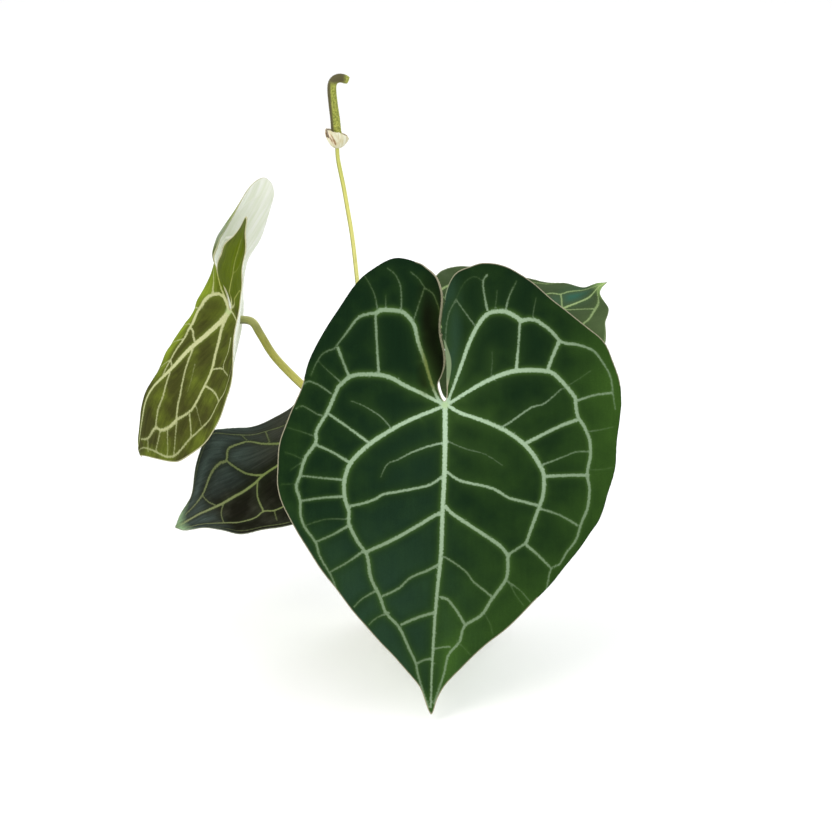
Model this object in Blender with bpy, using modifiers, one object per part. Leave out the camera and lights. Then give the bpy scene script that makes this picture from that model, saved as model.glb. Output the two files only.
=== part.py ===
"""Potted velvet-leaved anthurium: four heart-shaped leaves and one flower stalk in a plain round pot.

The origin is the centre of the pot's base, +Z is up and -Y is the side that the big front leaf faces.
Points that are read by eye are in millimetres; MM turns them into metres.
"""

import math

import bpy
import bmesh
import numpy as np
from mathutils import Matrix, Vector
from mathutils.geometry import delaunay_2d_cdt

MM = 0.001

# Pot, in metres.
POT_RIM_RADIUS = 0.0605
POT_BASE_RADIUS = 0.0430
POT_HEIGHT = 0.1100
POT_RIM_HEIGHT = 0.0180
POT_WALL = 0.0024
POT_FLOOR = 0.0034
DRAIN_HOLE_RADIUS = 0.0045
DRAIN_HOLE_CIRCLE = 0.0270

# Mix and crown, in metres.
MIX_TOP = 0.0980
CROWN_RADIUS = 0.0145
CROWN_TOP = 0.1120
CROWN_DEPTH = 0.0220
SOCKET_DEPTH = 0.0090
CLEARANCE = 0.0004

# Leaves and stalks, in metres.
BLADE_THICKNESS = 0.0012
RIB_HEIGHT = 0.0016
RIB_HALF_WIDTH = 1.8
SEAT_GAP = 0.0004
STALK_RADIUS = 0.0028
KNEE_RADIUS = 0.0037
FLOWER_STALK_RADIUS = 0.0015

for leftover in list(bpy.data.objects):
    bpy.data.objects.remove(leftover, do_unlink=True)

plant = bpy.data.collections.new("potted_anthurium")
bpy.context.scene.collection.children.link(plant)
cutters = bpy.data.collections.new("cutters")
cutters.hide_render = True
bpy.context.scene.collection.children.link(cutters)


def material(name, colour, roughness):
    made = bpy.data.materials.new(name)
    made.use_nodes = True
    shader = made.node_tree.nodes["Principled BSDF"]
    shader.inputs["Base Color"].default_value = (*colour, 1.0)
    shader.inputs["Roughness"].default_value = roughness
    made.diffuse_color = (*colour, 1.0)
    return made


def piece(name, mesh, colour=None, roughness=0.6, group=plant):
    """One named object; a piece of the plant gets a material of its own."""
    mesh.name = name
    made = bpy.data.objects.new(name, mesh)
    group.objects.link(made)
    if colour is not None:
        mesh.materials.clear()
        mesh.materials.append(material(name, colour, roughness))
    if group is cutters:
        made.hide_render = True
        made.display_type = "WIRE"
    return made


def smooth(made):
    for face in made.data.polygons:
        face.use_smooth = True


def mesh_of(points, faces):
    made = bpy.data.meshes.new("mesh")
    made.from_pydata([tuple(float(c) for c in p) for p in points], [], faces)
    made.update()
    return made


def turned(name, profile, steps, **look):
    """A solid of revolution about Z; the profile runs from the top of the axis round to its bottom."""
    points = [(r, 0.0, z) for r, z in profile]
    lines = [(i, i + 1) for i in range(len(points) - 1)]
    mesh = bpy.data.meshes.new(name)
    mesh.from_pydata(points, lines, [])
    made = piece(name, mesh, **look)
    screw = made.modifiers.new("turn", "SCREW")
    screw.axis = "Z"
    screw.angle = math.tau
    screw.steps = steps
    screw.render_steps = steps
    screw.use_merge_vertices = True
    screw.merge_threshold = 0.00005
    screw.use_smooth_shade = True
    return made


def apply_all(made):
    """The object's own mesh becomes what its modifiers make of it."""
    graph = bpy.context.evaluated_depsgraph_get()
    ready = made.evaluated_get(graph)
    result = bpy.data.meshes.new_from_object(ready, preserve_all_data_layers=True, depsgraph=graph)
    kept = list(made.data.materials)
    made.modifiers.clear()
    made.data = result
    result.name = made.name
    result.materials.clear()
    for slot in kept:
        result.materials.append(slot)


def combine(made, other, operation):
    boolean = made.modifiers.new(operation.lower(), "BOOLEAN")
    boolean.operation = operation
    boolean.solver = "EXACT"
    boolean.object = other
    apply_all(made)


def rod_mesh(start, end, radius, sides=16):
    """A plain closed cylinder between two points."""
    start, end = Vector(start), Vector(end)
    build = bmesh.new()
    length = (end - start).length
    bmesh.ops.create_cone(build, cap_ends=True, segments=sides, radius1=radius, radius2=radius, depth=length)
    turn = (end - start).to_track_quat("Z", "Y").to_matrix().to_4x4()
    bmesh.ops.transform(build, matrix=Matrix.Translation((start + end) / 2) @ turn, verts=build.verts)
    made = bpy.data.meshes.new("rod")
    build.to_mesh(made)
    build.free()
    return made


def smooth_line(points, closed, step):
    """A rounded line through the points, cut into pieces of about the given length."""
    p = np.asarray(points, float)
    count = len(p)
    made = []
    for i in range(count if closed else count - 1):
        near = [p[(i + k) % count] if closed else p[min(max(i + k, 0), count - 1)] for k in (-1, 0, 1, 2)]
        a, b, c, d = near
        pieces = max(1, round(float(np.linalg.norm(c - b)) / step))
        for k in range(pieces):
            t = k / pieces
            square, cube = 2 * a - 5 * b + 4 * c - d, 3 * b - a - 3 * c + d
            made.append(0.5 * (2 * b + (c - a) * t + square * t**2 + cube * t**3))
    if not closed:
        made.append(p[-1])
    return np.array(made)


# Leaf blades. A blade is first laid out flat in its own millimetres: the stalk joins at (0, 0), the drip tip is
# at negative w, the two lobes are at positive w, and u runs to the right as its upper side is seen.

FRONT_OUTLINE = [
    (-0.6, 0.6), (-3.2, 4.5), (-4.6, 11), (-1.6, 17.9), (-0.2, 24.5), (-1.2, 36), (-2.9, 50), (-2.6, 58),
    (-0.9, 70.5), (-4, 80), (-11.5, 86.5), (-18, 90), (-32.6, 92.3), (-48.6, 84.5), (-59.2, 72.8), (-78, 45),
    (-86.4, 27.5), (-93.1, 8), (-100.5, -10.2), (-106.4, -26.2), (-108.4, -43), (-107.1, -56.5), (-99.9, -76),
    (-77.5, -110.3), (-60.2, -132.5), (-42.8, -152.8), (-31.3, -165), (-19.2, -179.1), (-14.7, -186.2), (-9, -201),
    (-4.5, -190), (1.3, -180.5), (12.2, -169), (26.3, -155.1), (41.3, -143.6), (61.9, -122.6), (79.4, -103.3),
    (93, -84.6), (99.1, -76), (104.5, -62.3), (108.9, -44.7), (113.3, -8.6), (113.8, 2), (111.4, 18.2), (104.8, 35.8),
    (91.5, 48), (71.7, 64), (54.2, 77.9), (40, 87.3), (25.6, 89.4), (16, 87), (7.2, 82.8), (1.9, 74.5),
    (-0.5, 63), (-1.7, 55), (-1.9, 47), (-0.4, 36), (0.8, 26), (0.9, 14), (1, 3.8),
]
# Where the slit between the two lobes runs: u at each w.
SLIT = ((0, 10, 25, 36, 48, 57, 70), (0, 0, 0.3, -0.8, -2.4, -2.0, 0.5))
FRONT_MIDRIB = [
    (0, -12), (0, -24), (-0.6, -48), (-1.3, -68), (-2.6, -96), (-3.8, -112), (-5.8, -132), (-7.7, -156), (-8.3, -176),
]
FRONT_RIBS = [
    FRONT_MIDRIB,
    [
        (-10, -7), (-22.4, -10.2), (-34.6, -16), (-48.6, -26.2), (-60.2, -38.4), (-64.6, -50.6), (-64, -62),
        (-61.4, -78), (-51.2, -96),
    ],
    [
        (10, -7), (21.8, -10.2), (39.7, -16), (52.5, -25.6), (61.4, -36.5), (64, -48), (62.7, -60.2), (58.9, -70.4),
        (51.8, -90.2),
    ],
]


def heart_outline(half_width, lobe, tip):
    """The outline of a smaller leaf, as fractions of its half width, its lobe length and its length to the tip."""
    above = [
        (0.010, 0.02), (0.008, 0.3), (0.018, 0.62), (0.07, 0.84), (0.17, 0.965), (0.30, 1.0), (0.45, 0.95),
        (0.62, 0.78), (0.79, 0.55), (0.91, 0.32), (0.98, 0.08),
    ]
    below = [
        (1.0, -0.06), (0.975, -0.18), (0.90, -0.34), (0.78, -0.49), (0.60, -0.63), (0.40, -0.76), (0.22, -0.86),
        (0.10, -0.93), (0.035, -0.97),
    ]
    right = [(x * half_width + 0.6, y * lobe) for x, y in above] + [(x * half_width, y * tip) for x, y in below]
    return right + [(0.0, -tip)] + [(-x, y) for x, y in reversed(right)]


def heart_ribs(half_width, tip):
    """Midrib and the two thick side veins of a smaller leaf."""
    side = [
        (0.16, -0.04), (0.26, -0.06), (0.36, -0.08), (0.48, -0.13), (0.56, -0.19), (0.585, -0.27), (0.55, -0.36),
        (0.48, -0.45),
    ]
    middle = [(0.0, y * tip) for y in (-0.12, -0.22, -0.34, -0.48, -0.62, -0.76, -0.9)]
    return [middle] + [[(s * x * half_width, y * tip) for x, y in side] for s in (-1, 1)]


class Drape:
    """A smooth bend of the flat leaf through handles, each (u, w) and where that point of the leaf is."""

    def __init__(self, handles):
        h = np.asarray(handles, float)
        self.flat = h[:, :2]
        count = len(h)
        bend = self.bend(self.flat, self.flat)
        straight = np.hstack([np.ones((count, 1)), self.flat])
        system = np.block([[bend, straight], [straight.T, np.zeros((3, 3))]])
        self.weights = np.linalg.solve(system, np.vstack([h[:, 2:], np.zeros((3, 3))]))

    @staticmethod
    def bend(a, b):
        square = ((a[:, None] - b[None]) ** 2).sum(2)
        return 0.5 * square * np.log(np.maximum(square, 1e-12))

    def __call__(self, flat):
        flat = np.atleast_2d(np.asarray(flat, float))
        return np.hstack([self.bend(flat, self.flat), np.ones((len(flat), 1)), flat]) @ self.weights


def front_drape(flat):
    """The front leaf hangs 18 degrees from upright, its halves a little raised and its rim falling back."""
    flat = np.atleast_2d(np.asarray(flat, float))
    u, w = flat[:, 0], flat[:, 1]
    lean = math.radians(18)
    across = np.sqrt((u - np.interp(-w, [0, 68, 132, 200], [0, -1.3, -5.8, -9])) ** 2 + 9) - 3
    out = 7 * (1 - np.exp(-across / 22)) - 16 * (np.abs(u) / 110) ** 2.2
    out -= np.where(w < 0, 6 * (w / 200) ** 2, 10 * (w / 90) ** 2)
    lobe = np.clip((w - 4) / 26, 0, 1) * np.exp(-np.abs(u) / 9)
    out += lobe * np.where(u < np.interp(w, *SLIT), -6.0, 2.5)
    back = -100 + w * math.sin(lean) - out * math.cos(lean)
    high = 200 + w * math.cos(lean) + out * math.sin(lean)
    tuck = 1.3 * np.exp(-(((w - 33) / 9) ** 2)) * np.exp(-np.abs(u) / 9) * (u < np.interp(w, *SLIT))
    return np.stack([1.6 + u + tuck, back, high], 1)


LEFT_HANDLES = [
    (0, 0, -144, 0, 235), (0, -24, -161, -2, 217), (0, -55, -184, -3, 195), (0, -81, -201, -2, 176),
    (0, -105, -208.5, 2, 152), (0, -123, -212.5, 8, 132), (0, -136, -212.3, 18, 121.5), (80, -8, -135, -66, 235),
    (78, -24, -138, -66, 210), (62, -67, -153.5, -56, 164), (38, -98, -179.5, -36, 136), (18, -117, -200.5, -12, 131),
    (63, 44, -129, -60, 280), (49, 63, -128, -50, 296), (24, 80, -129, -32, 306), (6, 67, -140, -14, 288),
    (3, 50, -148, -6, 275), (3, 24, -150, -2, 256), (-20, 0, -166.2, 10, 240), (-21, -25, -178, 13, 220),
    (-42, -3, -164, 30, 220), (-80, -8, -142, 66, 212), (-78, -24, -147, 66, 185), (-62, -67, -162.8, 58, 139.5),
    (-34, -102, -202, 36, 124), (-72, 25, -139.4, 70, 250), (-63, 44, -128, 71, 269), (-49, 63, -118, 66, 301),
    (-36, 77, -123, 58, 315), (-24, 80, -134, 46, 308), (-13, 77, -142.2, 34, 294), (-5, 60, -152.2, 20, 281),
    (-3, 45, -155, 13, 270), (-3, 22, -151, 6, 257), (-22, -50, -190.3, 12, 201), (-18, -90, -207.3, 14, 162),
]
LOW_HANDLES = [
    (0, -124, -183.8, -30, 87), (0, -108, -177, -26, 90), (0, -78, -156, -14, 97), (0, -55, -140, -5, 103),
    (0, -30, -125, 3, 113), (0, 0, -95, 12, 132), (20, -106, -162, -36, 87), (40, -78, -138, -40, 86),
    (58, -45, -103, -40, 92), (64, 0, -66, -36, 106), (-14, -108, -176, -8, 100), (-30, -88, -172.8, 14, 117),
    (-46, -66, -162, 34, 136), (-58, -40, -139, 48, 133), (-64, -8, -109, 60, 145), (20, 52, -53, 10, 148),
    (-20, 52, -62, 30, 164), (45, 30, -52, -10, 133), (-45, 30, -83, 60, 162),
]
BACK_HANDLES = [
    (0, -118, 118, 50, 242), (0, -108, 111, 47, 238), (0, -80, 91, 36, 228), (0, -40, 61, 24, 217),
    (0, 0, 29, 12, 206), (36, -76, 77, 66, 238.1), (-40, -70, 113.8, 14, 205), (-56, -38, 82, -6, 175),
    (-62, 0, 41, -14, 163), (46, -61, 59.6, 67, 239.6), (25, -90, 91.1, 62.7, 237.1), (14, -101, 103.2, 58, 235.3),
    (-6, -110, 112.7, 44.4, 234.8), (-14, -101, 118.3, 38.9, 225.2), (-25, -90, 116.3, 29, 218.3),
    (57, 18, 0, 42.9, 250.8), (46, 32, -4.6, 33.6, 245.1), (62, -7, 10.5, 52.7, 251.5), (20, 54, -15.1, 14, 222),
    (56, -40, 40.2, 64.3, 247.7), (-18, 54, 0.2, -4, 181.4), (-46, 30, 14.7, -22, 174.9),
]

LEAVES = {
    "front": {"outline": FRONT_OUTLINE, "ribs": FRONT_RIBS, "drape": front_drape, "wave": 1.0, "cell": 10.5},
}
for name, half_width, lobe, tip, handles, wave, cell in (
    ("left", 80, 80, 136, LEFT_HANDLES, 0.5, 8.5),
    ("low", 64, 55, 124, LOW_HANDLES, 0.8, 9.0),
    ("back", 62, 55, 118, BACK_HANDLES, 0.8, 9.0),
):
    outline, ribs = heart_outline(half_width, lobe, tip), heart_ribs(half_width, tip)
    LEAVES[name] = {"outline": outline, "ribs": ribs, "drape": Drape(handles), "wave": wave, "cell": cell}
BLADE_COLOURS = {
    "front": (0.03, 0.09, 0.05),
    "left": (0.12, 0.16, 0.03),
    "low": (0.03, 0.04, 0.045),
    "back": (0.05, 0.09, 0.06),
}


def upward(leaf, flat, step=0.1):
    """The upper side's direction at points of a leaf."""
    flat = np.atleast_2d(np.asarray(flat, float))
    across = leaf["drape"](flat + [step, 0]) - leaf["drape"](flat - [step, 0])
    along = leaf["drape"](flat + [0, step]) - leaf["drape"](flat - [0, step])
    made = np.cross(across, along)
    return made / np.linalg.norm(made, axis=1, keepdims=True)


def rim_wave(leaf, flat):
    """How far the margin waves up and down, fading to nothing a finger's width in from it."""
    rim = smooth_line(leaf["outline"], True, 2.0)
    run = np.concatenate([[0], np.cumsum(np.linalg.norm(np.diff(rim, axis=0), axis=1))])
    apart = np.linalg.norm(flat[:, None] - rim[None], axis=2)
    near = apart.argmin(axis=1)
    s = run[near]
    tall = leaf["wave"] * (np.sin(s * math.tau / 47) + 0.6 * np.sin(s * math.tau / 29 + 1.3))
    away = np.clip(1 - np.abs(flat[:, 1] - 20) / 12, 0, 1) * (np.abs(flat[:, 0]) < 8)
    return tall * np.exp(-((apart.min(axis=1) / 9) ** 2)) * (1 - away)


def in_leaf(leaf, flat):
    """Points in object millimetres for flat points of a leaf."""
    flat = np.atleast_2d(np.asarray(flat, float))
    return leaf["drape"](flat) + upward(leaf, flat) * rim_wave(leaf, flat)[:, None]


def is_inside(rim, point):
    x, y = point
    a, b = rim, np.roll(rim, -1, axis=0)
    crosses = (a[:, 1] > y) != (b[:, 1] > y)
    rise = np.where(b[:, 1] == a[:, 1], 1.0, b[:, 1] - a[:, 1])
    return int((crosses & (x < (b[:, 0] - a[:, 0]) * (y - a[:, 1]) / rise + a[:, 0])).sum()) % 2 == 1


def blade(name, leaf, colour):
    """A thin waved sheet, thickened on its underside, with ribs that stand out below."""
    rim = smooth_line(leaf["outline"], True, 6.0)
    points = [tuple(p) for p in rim]
    lines = [(i, (i + 1) % len(rim)) for i in range(len(rim))]
    heights = [0.0] * len(rim)
    for rib in leaf["ribs"]:
        middle = smooth_line(rib, False, 12.0)
        run = np.gradient(middle, axis=0)
        side = np.stack([-run[:, 1], run[:, 0]], 1) / np.linalg.norm(run, axis=1, keepdims=True)
        for shift, tall in ((0.0, 1.0), (RIB_HALF_WIDTH, 0.0), (-RIB_HALF_WIDTH, 0.0)):
            first = len(points)
            points += [tuple(p) for p in middle + side * shift]
            heights += [tall if 0 < i < len(middle) - 1 else 0.0 for i in range(len(middle))]
            lines += [(first + i, first + i + 1) for i in range(len(middle) - 1)]
    fixed = np.array(points)
    cell = leaf["cell"]
    low, high = fixed.min(axis=0), fixed.max(axis=0)
    for row in range(int((high[1] - low[1]) / (cell * 0.866)) + 1):
        for column in range(int((high[0] - low[0]) / cell) + 2):
            spot = (low[0] + (column + 0.5 * (row % 2)) * cell, low[1] + row * cell * 0.866)
            if np.linalg.norm(fixed - spot, axis=1).min() > 0.55 * cell and is_inside(rim, spot):
                points.append(spot)
                heights.append(0.0)
    flat, _, faces, came_from, _, _ = delaunay_2d_cdt([Vector(p) for p in points], lines, [], 1, 1e-5)
    flat = np.array([tuple(p) for p in flat])
    mesh = mesh_of(in_leaf(leaf, flat) * MM, [tuple(f) for f in faces])
    made = piece(name, mesh, colour, 0.45)
    build = bmesh.new()
    build.from_mesh(mesh)
    middle = len(build.faces) // 2
    build.faces.ensure_lookup_table()
    centre = flat[[v.index for v in build.faces[middle].verts]].mean(axis=0)
    if build.faces[middle].normal.dot(Vector(upward(leaf, centre)[0])) < 0:
        bmesh.ops.reverse_faces(build, faces=build.faces)
    build.to_mesh(mesh)
    build.free()
    group = made.vertex_groups.new(name="ribs")
    for index, sources in enumerate(came_from):
        group.add([index], max((heights[s] for s in sources), default=0.0), "REPLACE")
    thicken = made.modifiers.new("thickness", "SOLIDIFY")
    thicken.thickness = BLADE_THICKNESS + RIB_HEIGHT
    thicken.vertex_group = "ribs"
    thicken.thickness_vertex_group = BLADE_THICKNESS / (BLADE_THICKNESS + RIB_HEIGHT)
    thicken.offset = -1
    apply_all(made)
    smooth(made)
    return made


for key, leaf in LEAVES.items():
    blade("blade_" + key, leaf, BLADE_COLOURS[key])


# Pot: one thin-walled turned shell with a thick rim and four drain holes.

taper = (POT_RIM_RADIUS - 0.003 - POT_BASE_RADIUS) / (POT_HEIGHT - POT_RIM_HEIGHT)
shoulder = POT_HEIGHT - POT_RIM_HEIGHT
shoulder_radius = POT_BASE_RADIUS + taper * shoulder
inner_low = POT_BASE_RADIUS + taper * POT_FLOOR - POT_WALL
inner_top = POT_BASE_RADIUS + taper * POT_HEIGHT - POT_WALL
pot = turned(
    "pot",
    [
        (0.0, POT_FLOOR),
        (inner_low - 0.002, POT_FLOOR),
        (inner_low, POT_FLOOR + 0.002),
        (inner_top, POT_HEIGHT - 0.0012),
        (inner_top + 0.0010, POT_HEIGHT - 0.0002),
        (inner_top + 0.0022, POT_HEIGHT),
        (POT_RIM_RADIUS + 0.0002, POT_HEIGHT - 0.0003),
        (POT_RIM_RADIUS + 0.0010, POT_HEIGHT - 0.0014),
        (POT_RIM_RADIUS + 0.0004, shoulder + 0.0014),
        (POT_RIM_RADIUS - 0.0004, shoulder + 0.0002),
        (shoulder_radius, shoulder),
        (POT_BASE_RADIUS + taper * 0.0020, 0.0020),
        (POT_BASE_RADIUS - 0.0006, 0.0005),
        (POT_BASE_RADIUS - 0.0018, 0.0),
        (0.0, 0.0),
    ][::-1],
    44,
    colour=(0.86, 0.86, 0.84),
    roughness=0.35,
)
pot.data.flip_normals()
apply_all(pot)
build = bmesh.new()
build.from_mesh(pot.data)
bmesh.ops.remove_doubles(build, verts=build.verts, dist=1e-6)
bmesh.ops.recalc_face_normals(build, faces=build.faces)
build.to_mesh(pot.data)
build.free()
drains = bmesh.new()
for quarter in range(4):
    angle = math.tau * (quarter + 0.5) / 4
    place = (DRAIN_HOLE_CIRCLE * math.cos(angle), DRAIN_HOLE_CIRCLE * math.sin(angle), POT_FLOOR / 2)
    size = {"radius1": DRAIN_HOLE_RADIUS, "radius2": DRAIN_HOLE_RADIUS, "depth": 0.012}
    bmesh.ops.create_cone(drains, cap_ends=True, segments=14, matrix=Matrix.Translation(place), **size)
drain_mesh = bpy.data.meshes.new("drains")
drains.to_mesh(drain_mesh)
drains.free()
combine(pot, piece("drain_holes", drain_mesh, group=cutters), "DIFFERENCE")
smooth(pot)


# Potting mix: fills the pot from its floor, with a lumpy top of bark and fibre and a plain hole for the crown.

RINGS = 9
SPOKES = 36
mix_points = [(0.0, 0.0, POT_FLOOR + CLEARANCE)]
for ring_radius, height in (
    (inner_low - 0.0030, POT_FLOOR + CLEARANCE),
    (inner_low + taper * 0.002 - CLEARANCE * 1.4, POT_FLOOR + 0.004),
):
    for spoke in range(SPOKES):
        angle = math.tau * spoke / SPOKES
        mix_points.append((ring_radius * math.cos(angle), ring_radius * math.sin(angle), height))
mix_edge = POT_BASE_RADIUS + taper * (MIX_TOP - 0.001) - POT_WALL - CLEARANCE * 1.6
for ring in range(RINGS, 0, -1):
    for spoke in range(SPOKES):
        angle = math.tau * (spoke + 0.5 * (ring % 2) * (ring != RINGS)) / SPOKES
        far = mix_edge * ring / RINGS
        x, y = far * math.cos(angle), far * math.sin(angle)
        lump = 0.0016 * math.sin(520 * x + 2.1 * math.sin(410 * y))
        lump += 0.0013 * math.sin(610 * y + 1.7 * math.sin(350 * x))
        mix_points.append((x, y, MIX_TOP - 0.001 + (lump if ring != RINGS else -0.001)))
mix_points.append((0.0, 0.0, MIX_TOP))
mix_faces = [(0, 1 + (i + 1) % SPOKES, 1 + i) for i in range(SPOKES)]
for band in range(RINGS + 1):
    first = 1 + band * SPOKES
    for i in range(SPOKES):
        j = (i + 1) % SPOKES
        mix_faces.append((first + i, first + j, first + SPOKES + j))
        mix_faces.append((first + i, first + SPOKES + j, first + SPOKES + i))
last = 1 + (RINGS + 1) * SPOKES
mix_faces += [(last + i, last + (i + 1) % SPOKES, last + SPOKES) for i in range(SPOKES)]
mix = piece("potting_mix", mesh_of(mix_points, mix_faces), (0.09, 0.06, 0.04), 0.95)
hole_ends = (0, 0, MIX_TOP - CROWN_DEPTH), (0, 0, MIX_TOP + 0.02)
crown_hole = piece("crown_hole", rod_mesh(*hole_ends, CROWN_RADIUS + CLEARANCE, 24), group=cutters)
combine(mix, crown_hole, "DIFFERENCE")


# Crown: a short knobbly stem set in the mix, with a small collar round the foot of each stalk.

crown_foot = MIX_TOP - CROWN_DEPTH + CLEARANCE
crown = turned(
    "crown",
    [
        (0.0, crown_foot),
        (CROWN_RADIUS - 0.0030, crown_foot),
        (CROWN_RADIUS, crown_foot + 0.0030),
        (CROWN_RADIUS, MIX_TOP + 0.0030),
        (CROWN_RADIUS + 0.0010, MIX_TOP + 0.0050),
        (CROWN_RADIUS - 0.0004, MIX_TOP + 0.0075),
        (CROWN_RADIUS + 0.0006, MIX_TOP + 0.0095),
        (CROWN_RADIUS - 0.0022, MIX_TOP + 0.0128),
        (0.0060, CROWN_TOP + 0.0004),
        (0.0, CROWN_TOP + 0.0010),
    ],
    26,
    colour=(0.16, 0.15, 0.06),
    roughness=0.85,
)
apply_all(crown)
build = bmesh.new()
build.from_mesh(crown.data)
bmesh.ops.remove_doubles(build, verts=build.verts, dist=1e-6)
bmesh.ops.recalc_face_normals(build, faces=build.faces)
build.to_mesh(crown.data)
build.free()


# Stalks. Each starts in a plain socket in the crown and ends square to the back of its blade, in a thicker knee.

STALKS = {
    "front": {
        "foot": (0, -8.5),
        "way": [(0, -14, 124), (0, -38, 150), (1, -66, 178), (1.4, -84, 190)],
        "seat": (0.6, -5.5),
        "ease": 0.0,
    },
    "left": {
        "foot": (-8.4, -1.5),
        "way": [
            (-15, -6, 125), (-35, -15, 138), (-59, -21, 157.8), (-79, -20, 173.7), (-94, -16, 184.8),
            (-113.2, -8, 202.6), (-123.4, -4, 218.1), (-129.4, -2, 226.6),
        ],
        "seat": (1.0, -5.0),
        "ease": -0.0004,
    },
    "low": {
        "foot": (-4.3, 7.4),
        "way": [(-10, 12, 123), (-28, 19, 128), (-52, 22, 126), (-76, 23, 123)],
        "seat": (0, -5.0),
        "ease": 0.0006,
    },
    "back": {
        "foot": (6.5, 5.5),
        "way": [(10, 11, 124), (17, 24, 146), (25, 34, 172), (31, 34, 190)],
        "seat": (0, -5.0),
        "ease": 0.0003,
    },
}


def stalk(name, line, radii, colour, resolution=2):
    """A bevelled curve through the points, as a closed mesh."""
    curve = bpy.data.curves.new(name, "CURVE")
    curve.dimensions = "3D"
    curve.bevel_depth = 1.0
    curve.bevel_resolution = resolution
    curve.use_fill_caps = True
    spline = curve.splines.new("POLY")
    spline.points.add(len(line) - 1)
    for point, place, radius in zip(spline.points, line, radii):
        point.co = (*place, 1.0)
        point.radius = radius
    guide = bpy.data.objects.new(name + "_line", curve)
    plant.objects.link(guide)
    graph = bpy.context.evaluated_depsgraph_get()
    mesh = bpy.data.meshes.new_from_object(guide.evaluated_get(graph))
    bpy.data.objects.remove(guide, do_unlink=True)
    build = bmesh.new()
    build.from_mesh(mesh)
    bmesh.ops.remove_doubles(build, verts=build.verts, dist=1e-6)
    bmesh.ops.recalc_face_normals(build, faces=build.faces)
    build.to_mesh(mesh)
    build.free()
    made = piece(name, mesh, colour, 0.5)
    smooth(made)
    return made


def swelling(line, radius, foot_radius, knee_radius):
    """A stalk's radius along its line: a little thicker at the foot, and a knee under the blade."""
    run = np.concatenate([[0], np.cumsum(np.linalg.norm(np.diff(line, axis=0), axis=1))])
    foot = np.exp(-((run / 0.020) ** 2))
    knee = np.exp(-(((run[-1] - run) / 0.012) ** 4))
    made = radius + (foot_radius - radius) * foot + (knee_radius - radius) * knee
    made[-1] *= 0.72
    return made


sockets = []
for key, layout in STALKS.items():
    leaf = LEAVES[key]
    up = upward(leaf, layout["seat"])[0]
    seat = in_leaf(leaf, layout["seat"])[0] - up * (BLADE_THICKNESS + SEAT_GAP + layout["ease"]) / MM
    foot = np.array([*layout["foot"], (CROWN_TOP - SOCKET_DEPTH + CLEARANCE) / MM])
    out = np.array([*layout["foot"], CROWN_TOP / MM + 3])
    bend = smooth_line([out, *layout["way"], seat - up * 9, seat - up * 3], False, 9.0)
    line = np.vstack([foot, bend, seat]) * MM
    stalk("stalk_" + key, line, swelling(line, STALK_RADIUS, 0.0031, KNEE_RADIUS), (0.20, 0.25, 0.06))
    sockets.append((foot * MM, out * MM, 0.0031))

FLOWER_WAY = [
    (-4, 0.5, 119), (-19, 5, 135), (-38, 12, 165), (-50, 18, 201), (-56.3, 23, 232), (-57.8, 25, 249),
    (-60.2, 28, 272), (-62, 30, 285), (-64, 31, 297), (-66.4, 33, 311), (-68.6, 34, 322), (-70.5, 35, 332),
    (-71, 35.5, 341.3),
]
flower_foot = np.array([1.2, -0.4, (CROWN_TOP - SOCKET_DEPTH + CLEARANCE) / MM])
flower_out = np.array([1.2, -0.4, CROWN_TOP / MM + 3])
flower_line = np.vstack([flower_foot, smooth_line([flower_out, *FLOWER_WAY], False, 12.0)]) * MM
stalk("flower_stalk", flower_line, swelling(flower_line, FLOWER_STALK_RADIUS, 0.0017, 0.0014), (0.30, 0.38, 0.10), 1)
sockets.append((flower_foot * MM, flower_out * MM, 0.0018))

for number, (foot, out, radius) in enumerate(sockets):
    collar = rod_mesh(foot - (out - foot) * 0.1, Vector(out) - Vector((0, 0, 0.001)), radius + 0.0016, 14)
    combine(crown, piece("collar_%d" % number, collar, group=cutters), "UNION")
for number, (foot, out, radius) in enumerate(sockets):
    hole = rod_mesh(foot - Vector((0, 0, CLEARANCE)), Vector(out) + Vector((0, 0, 0.02)), radius + CLEARANCE, 14)
    combine(crown, piece("socket_%d" % number, hole, group=cutters), "DIFFERENCE")
smooth(crown)


# Spathe: the withered bract, a small dry sheet that wraps the foot of the flower spike once, its outer edge lapped
# over its inner one in front. SPATHE_LIP runs along its upper edge and SPATHE_TURNS gives where each of those
# points comes from round the narrow foot.

SPATHE_FOOT = np.array([-70.9, 35.4, 339.4])
SPATHE_LIP = [
    (-3.0, -4.4, 6.6), (-7.0, -2.6, 8.2), (-7.2, 0.6, 13.1), (-4.2, 4.8, 11.8), (0.6, 5.8, 10.4), (5.4, 4.0, 8.6),
    (7.6, -0.6, 6.6), (4.8, -5.2, 10.0), (0.6, -6.5, 11.6), (-3.2, -6.9, 12.6), (-6.0, -6.6, 13.2),
]
SPATHE_TURNS = [234, 205, 165, 130, 95, 50, 4, -30, -56, -80, -98]
SPATHE_ROWS = 6
SPATHE_COLUMNS = 44


def bract_sheet(rows, columns):
    """Points of the sheet in object millimetres, row by row from the foot to the lip."""
    lip = smooth_line(SPATHE_LIP, False, 0.4)
    run = np.concatenate([[0], np.cumsum(np.linalg.norm(np.diff(lip, axis=0), axis=1))])
    knots = [run[np.linalg.norm(lip - np.array(p), axis=1).argmin()] for p in SPATHE_LIP]
    points = []
    for row in range(rows + 1):
        up = row / rows
        spread = up**0.62
        for column in range(columns + 1):
            along = run[-1] * column / columns
            edge = np.array([np.interp(along, run, lip[:, k]) for k in range(3)])
            turn = math.radians(np.interp(along, knots, SPATHE_TURNS))
            foot = (1.8 + 0.8 * column / columns) * np.array([math.cos(turn), math.sin(turn)])
            flat = foot * (1 - spread) + edge[:2] * spread
            flat *= 1 + 0.5 * math.sin(math.pi * up) / max(float(np.hypot(*flat)), 1.0)
            points.append(SPATHE_FOOT + (flat[0], flat[1], 0.2 * (1 - up) + edge[2] * up))
    return np.array(points)


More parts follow.
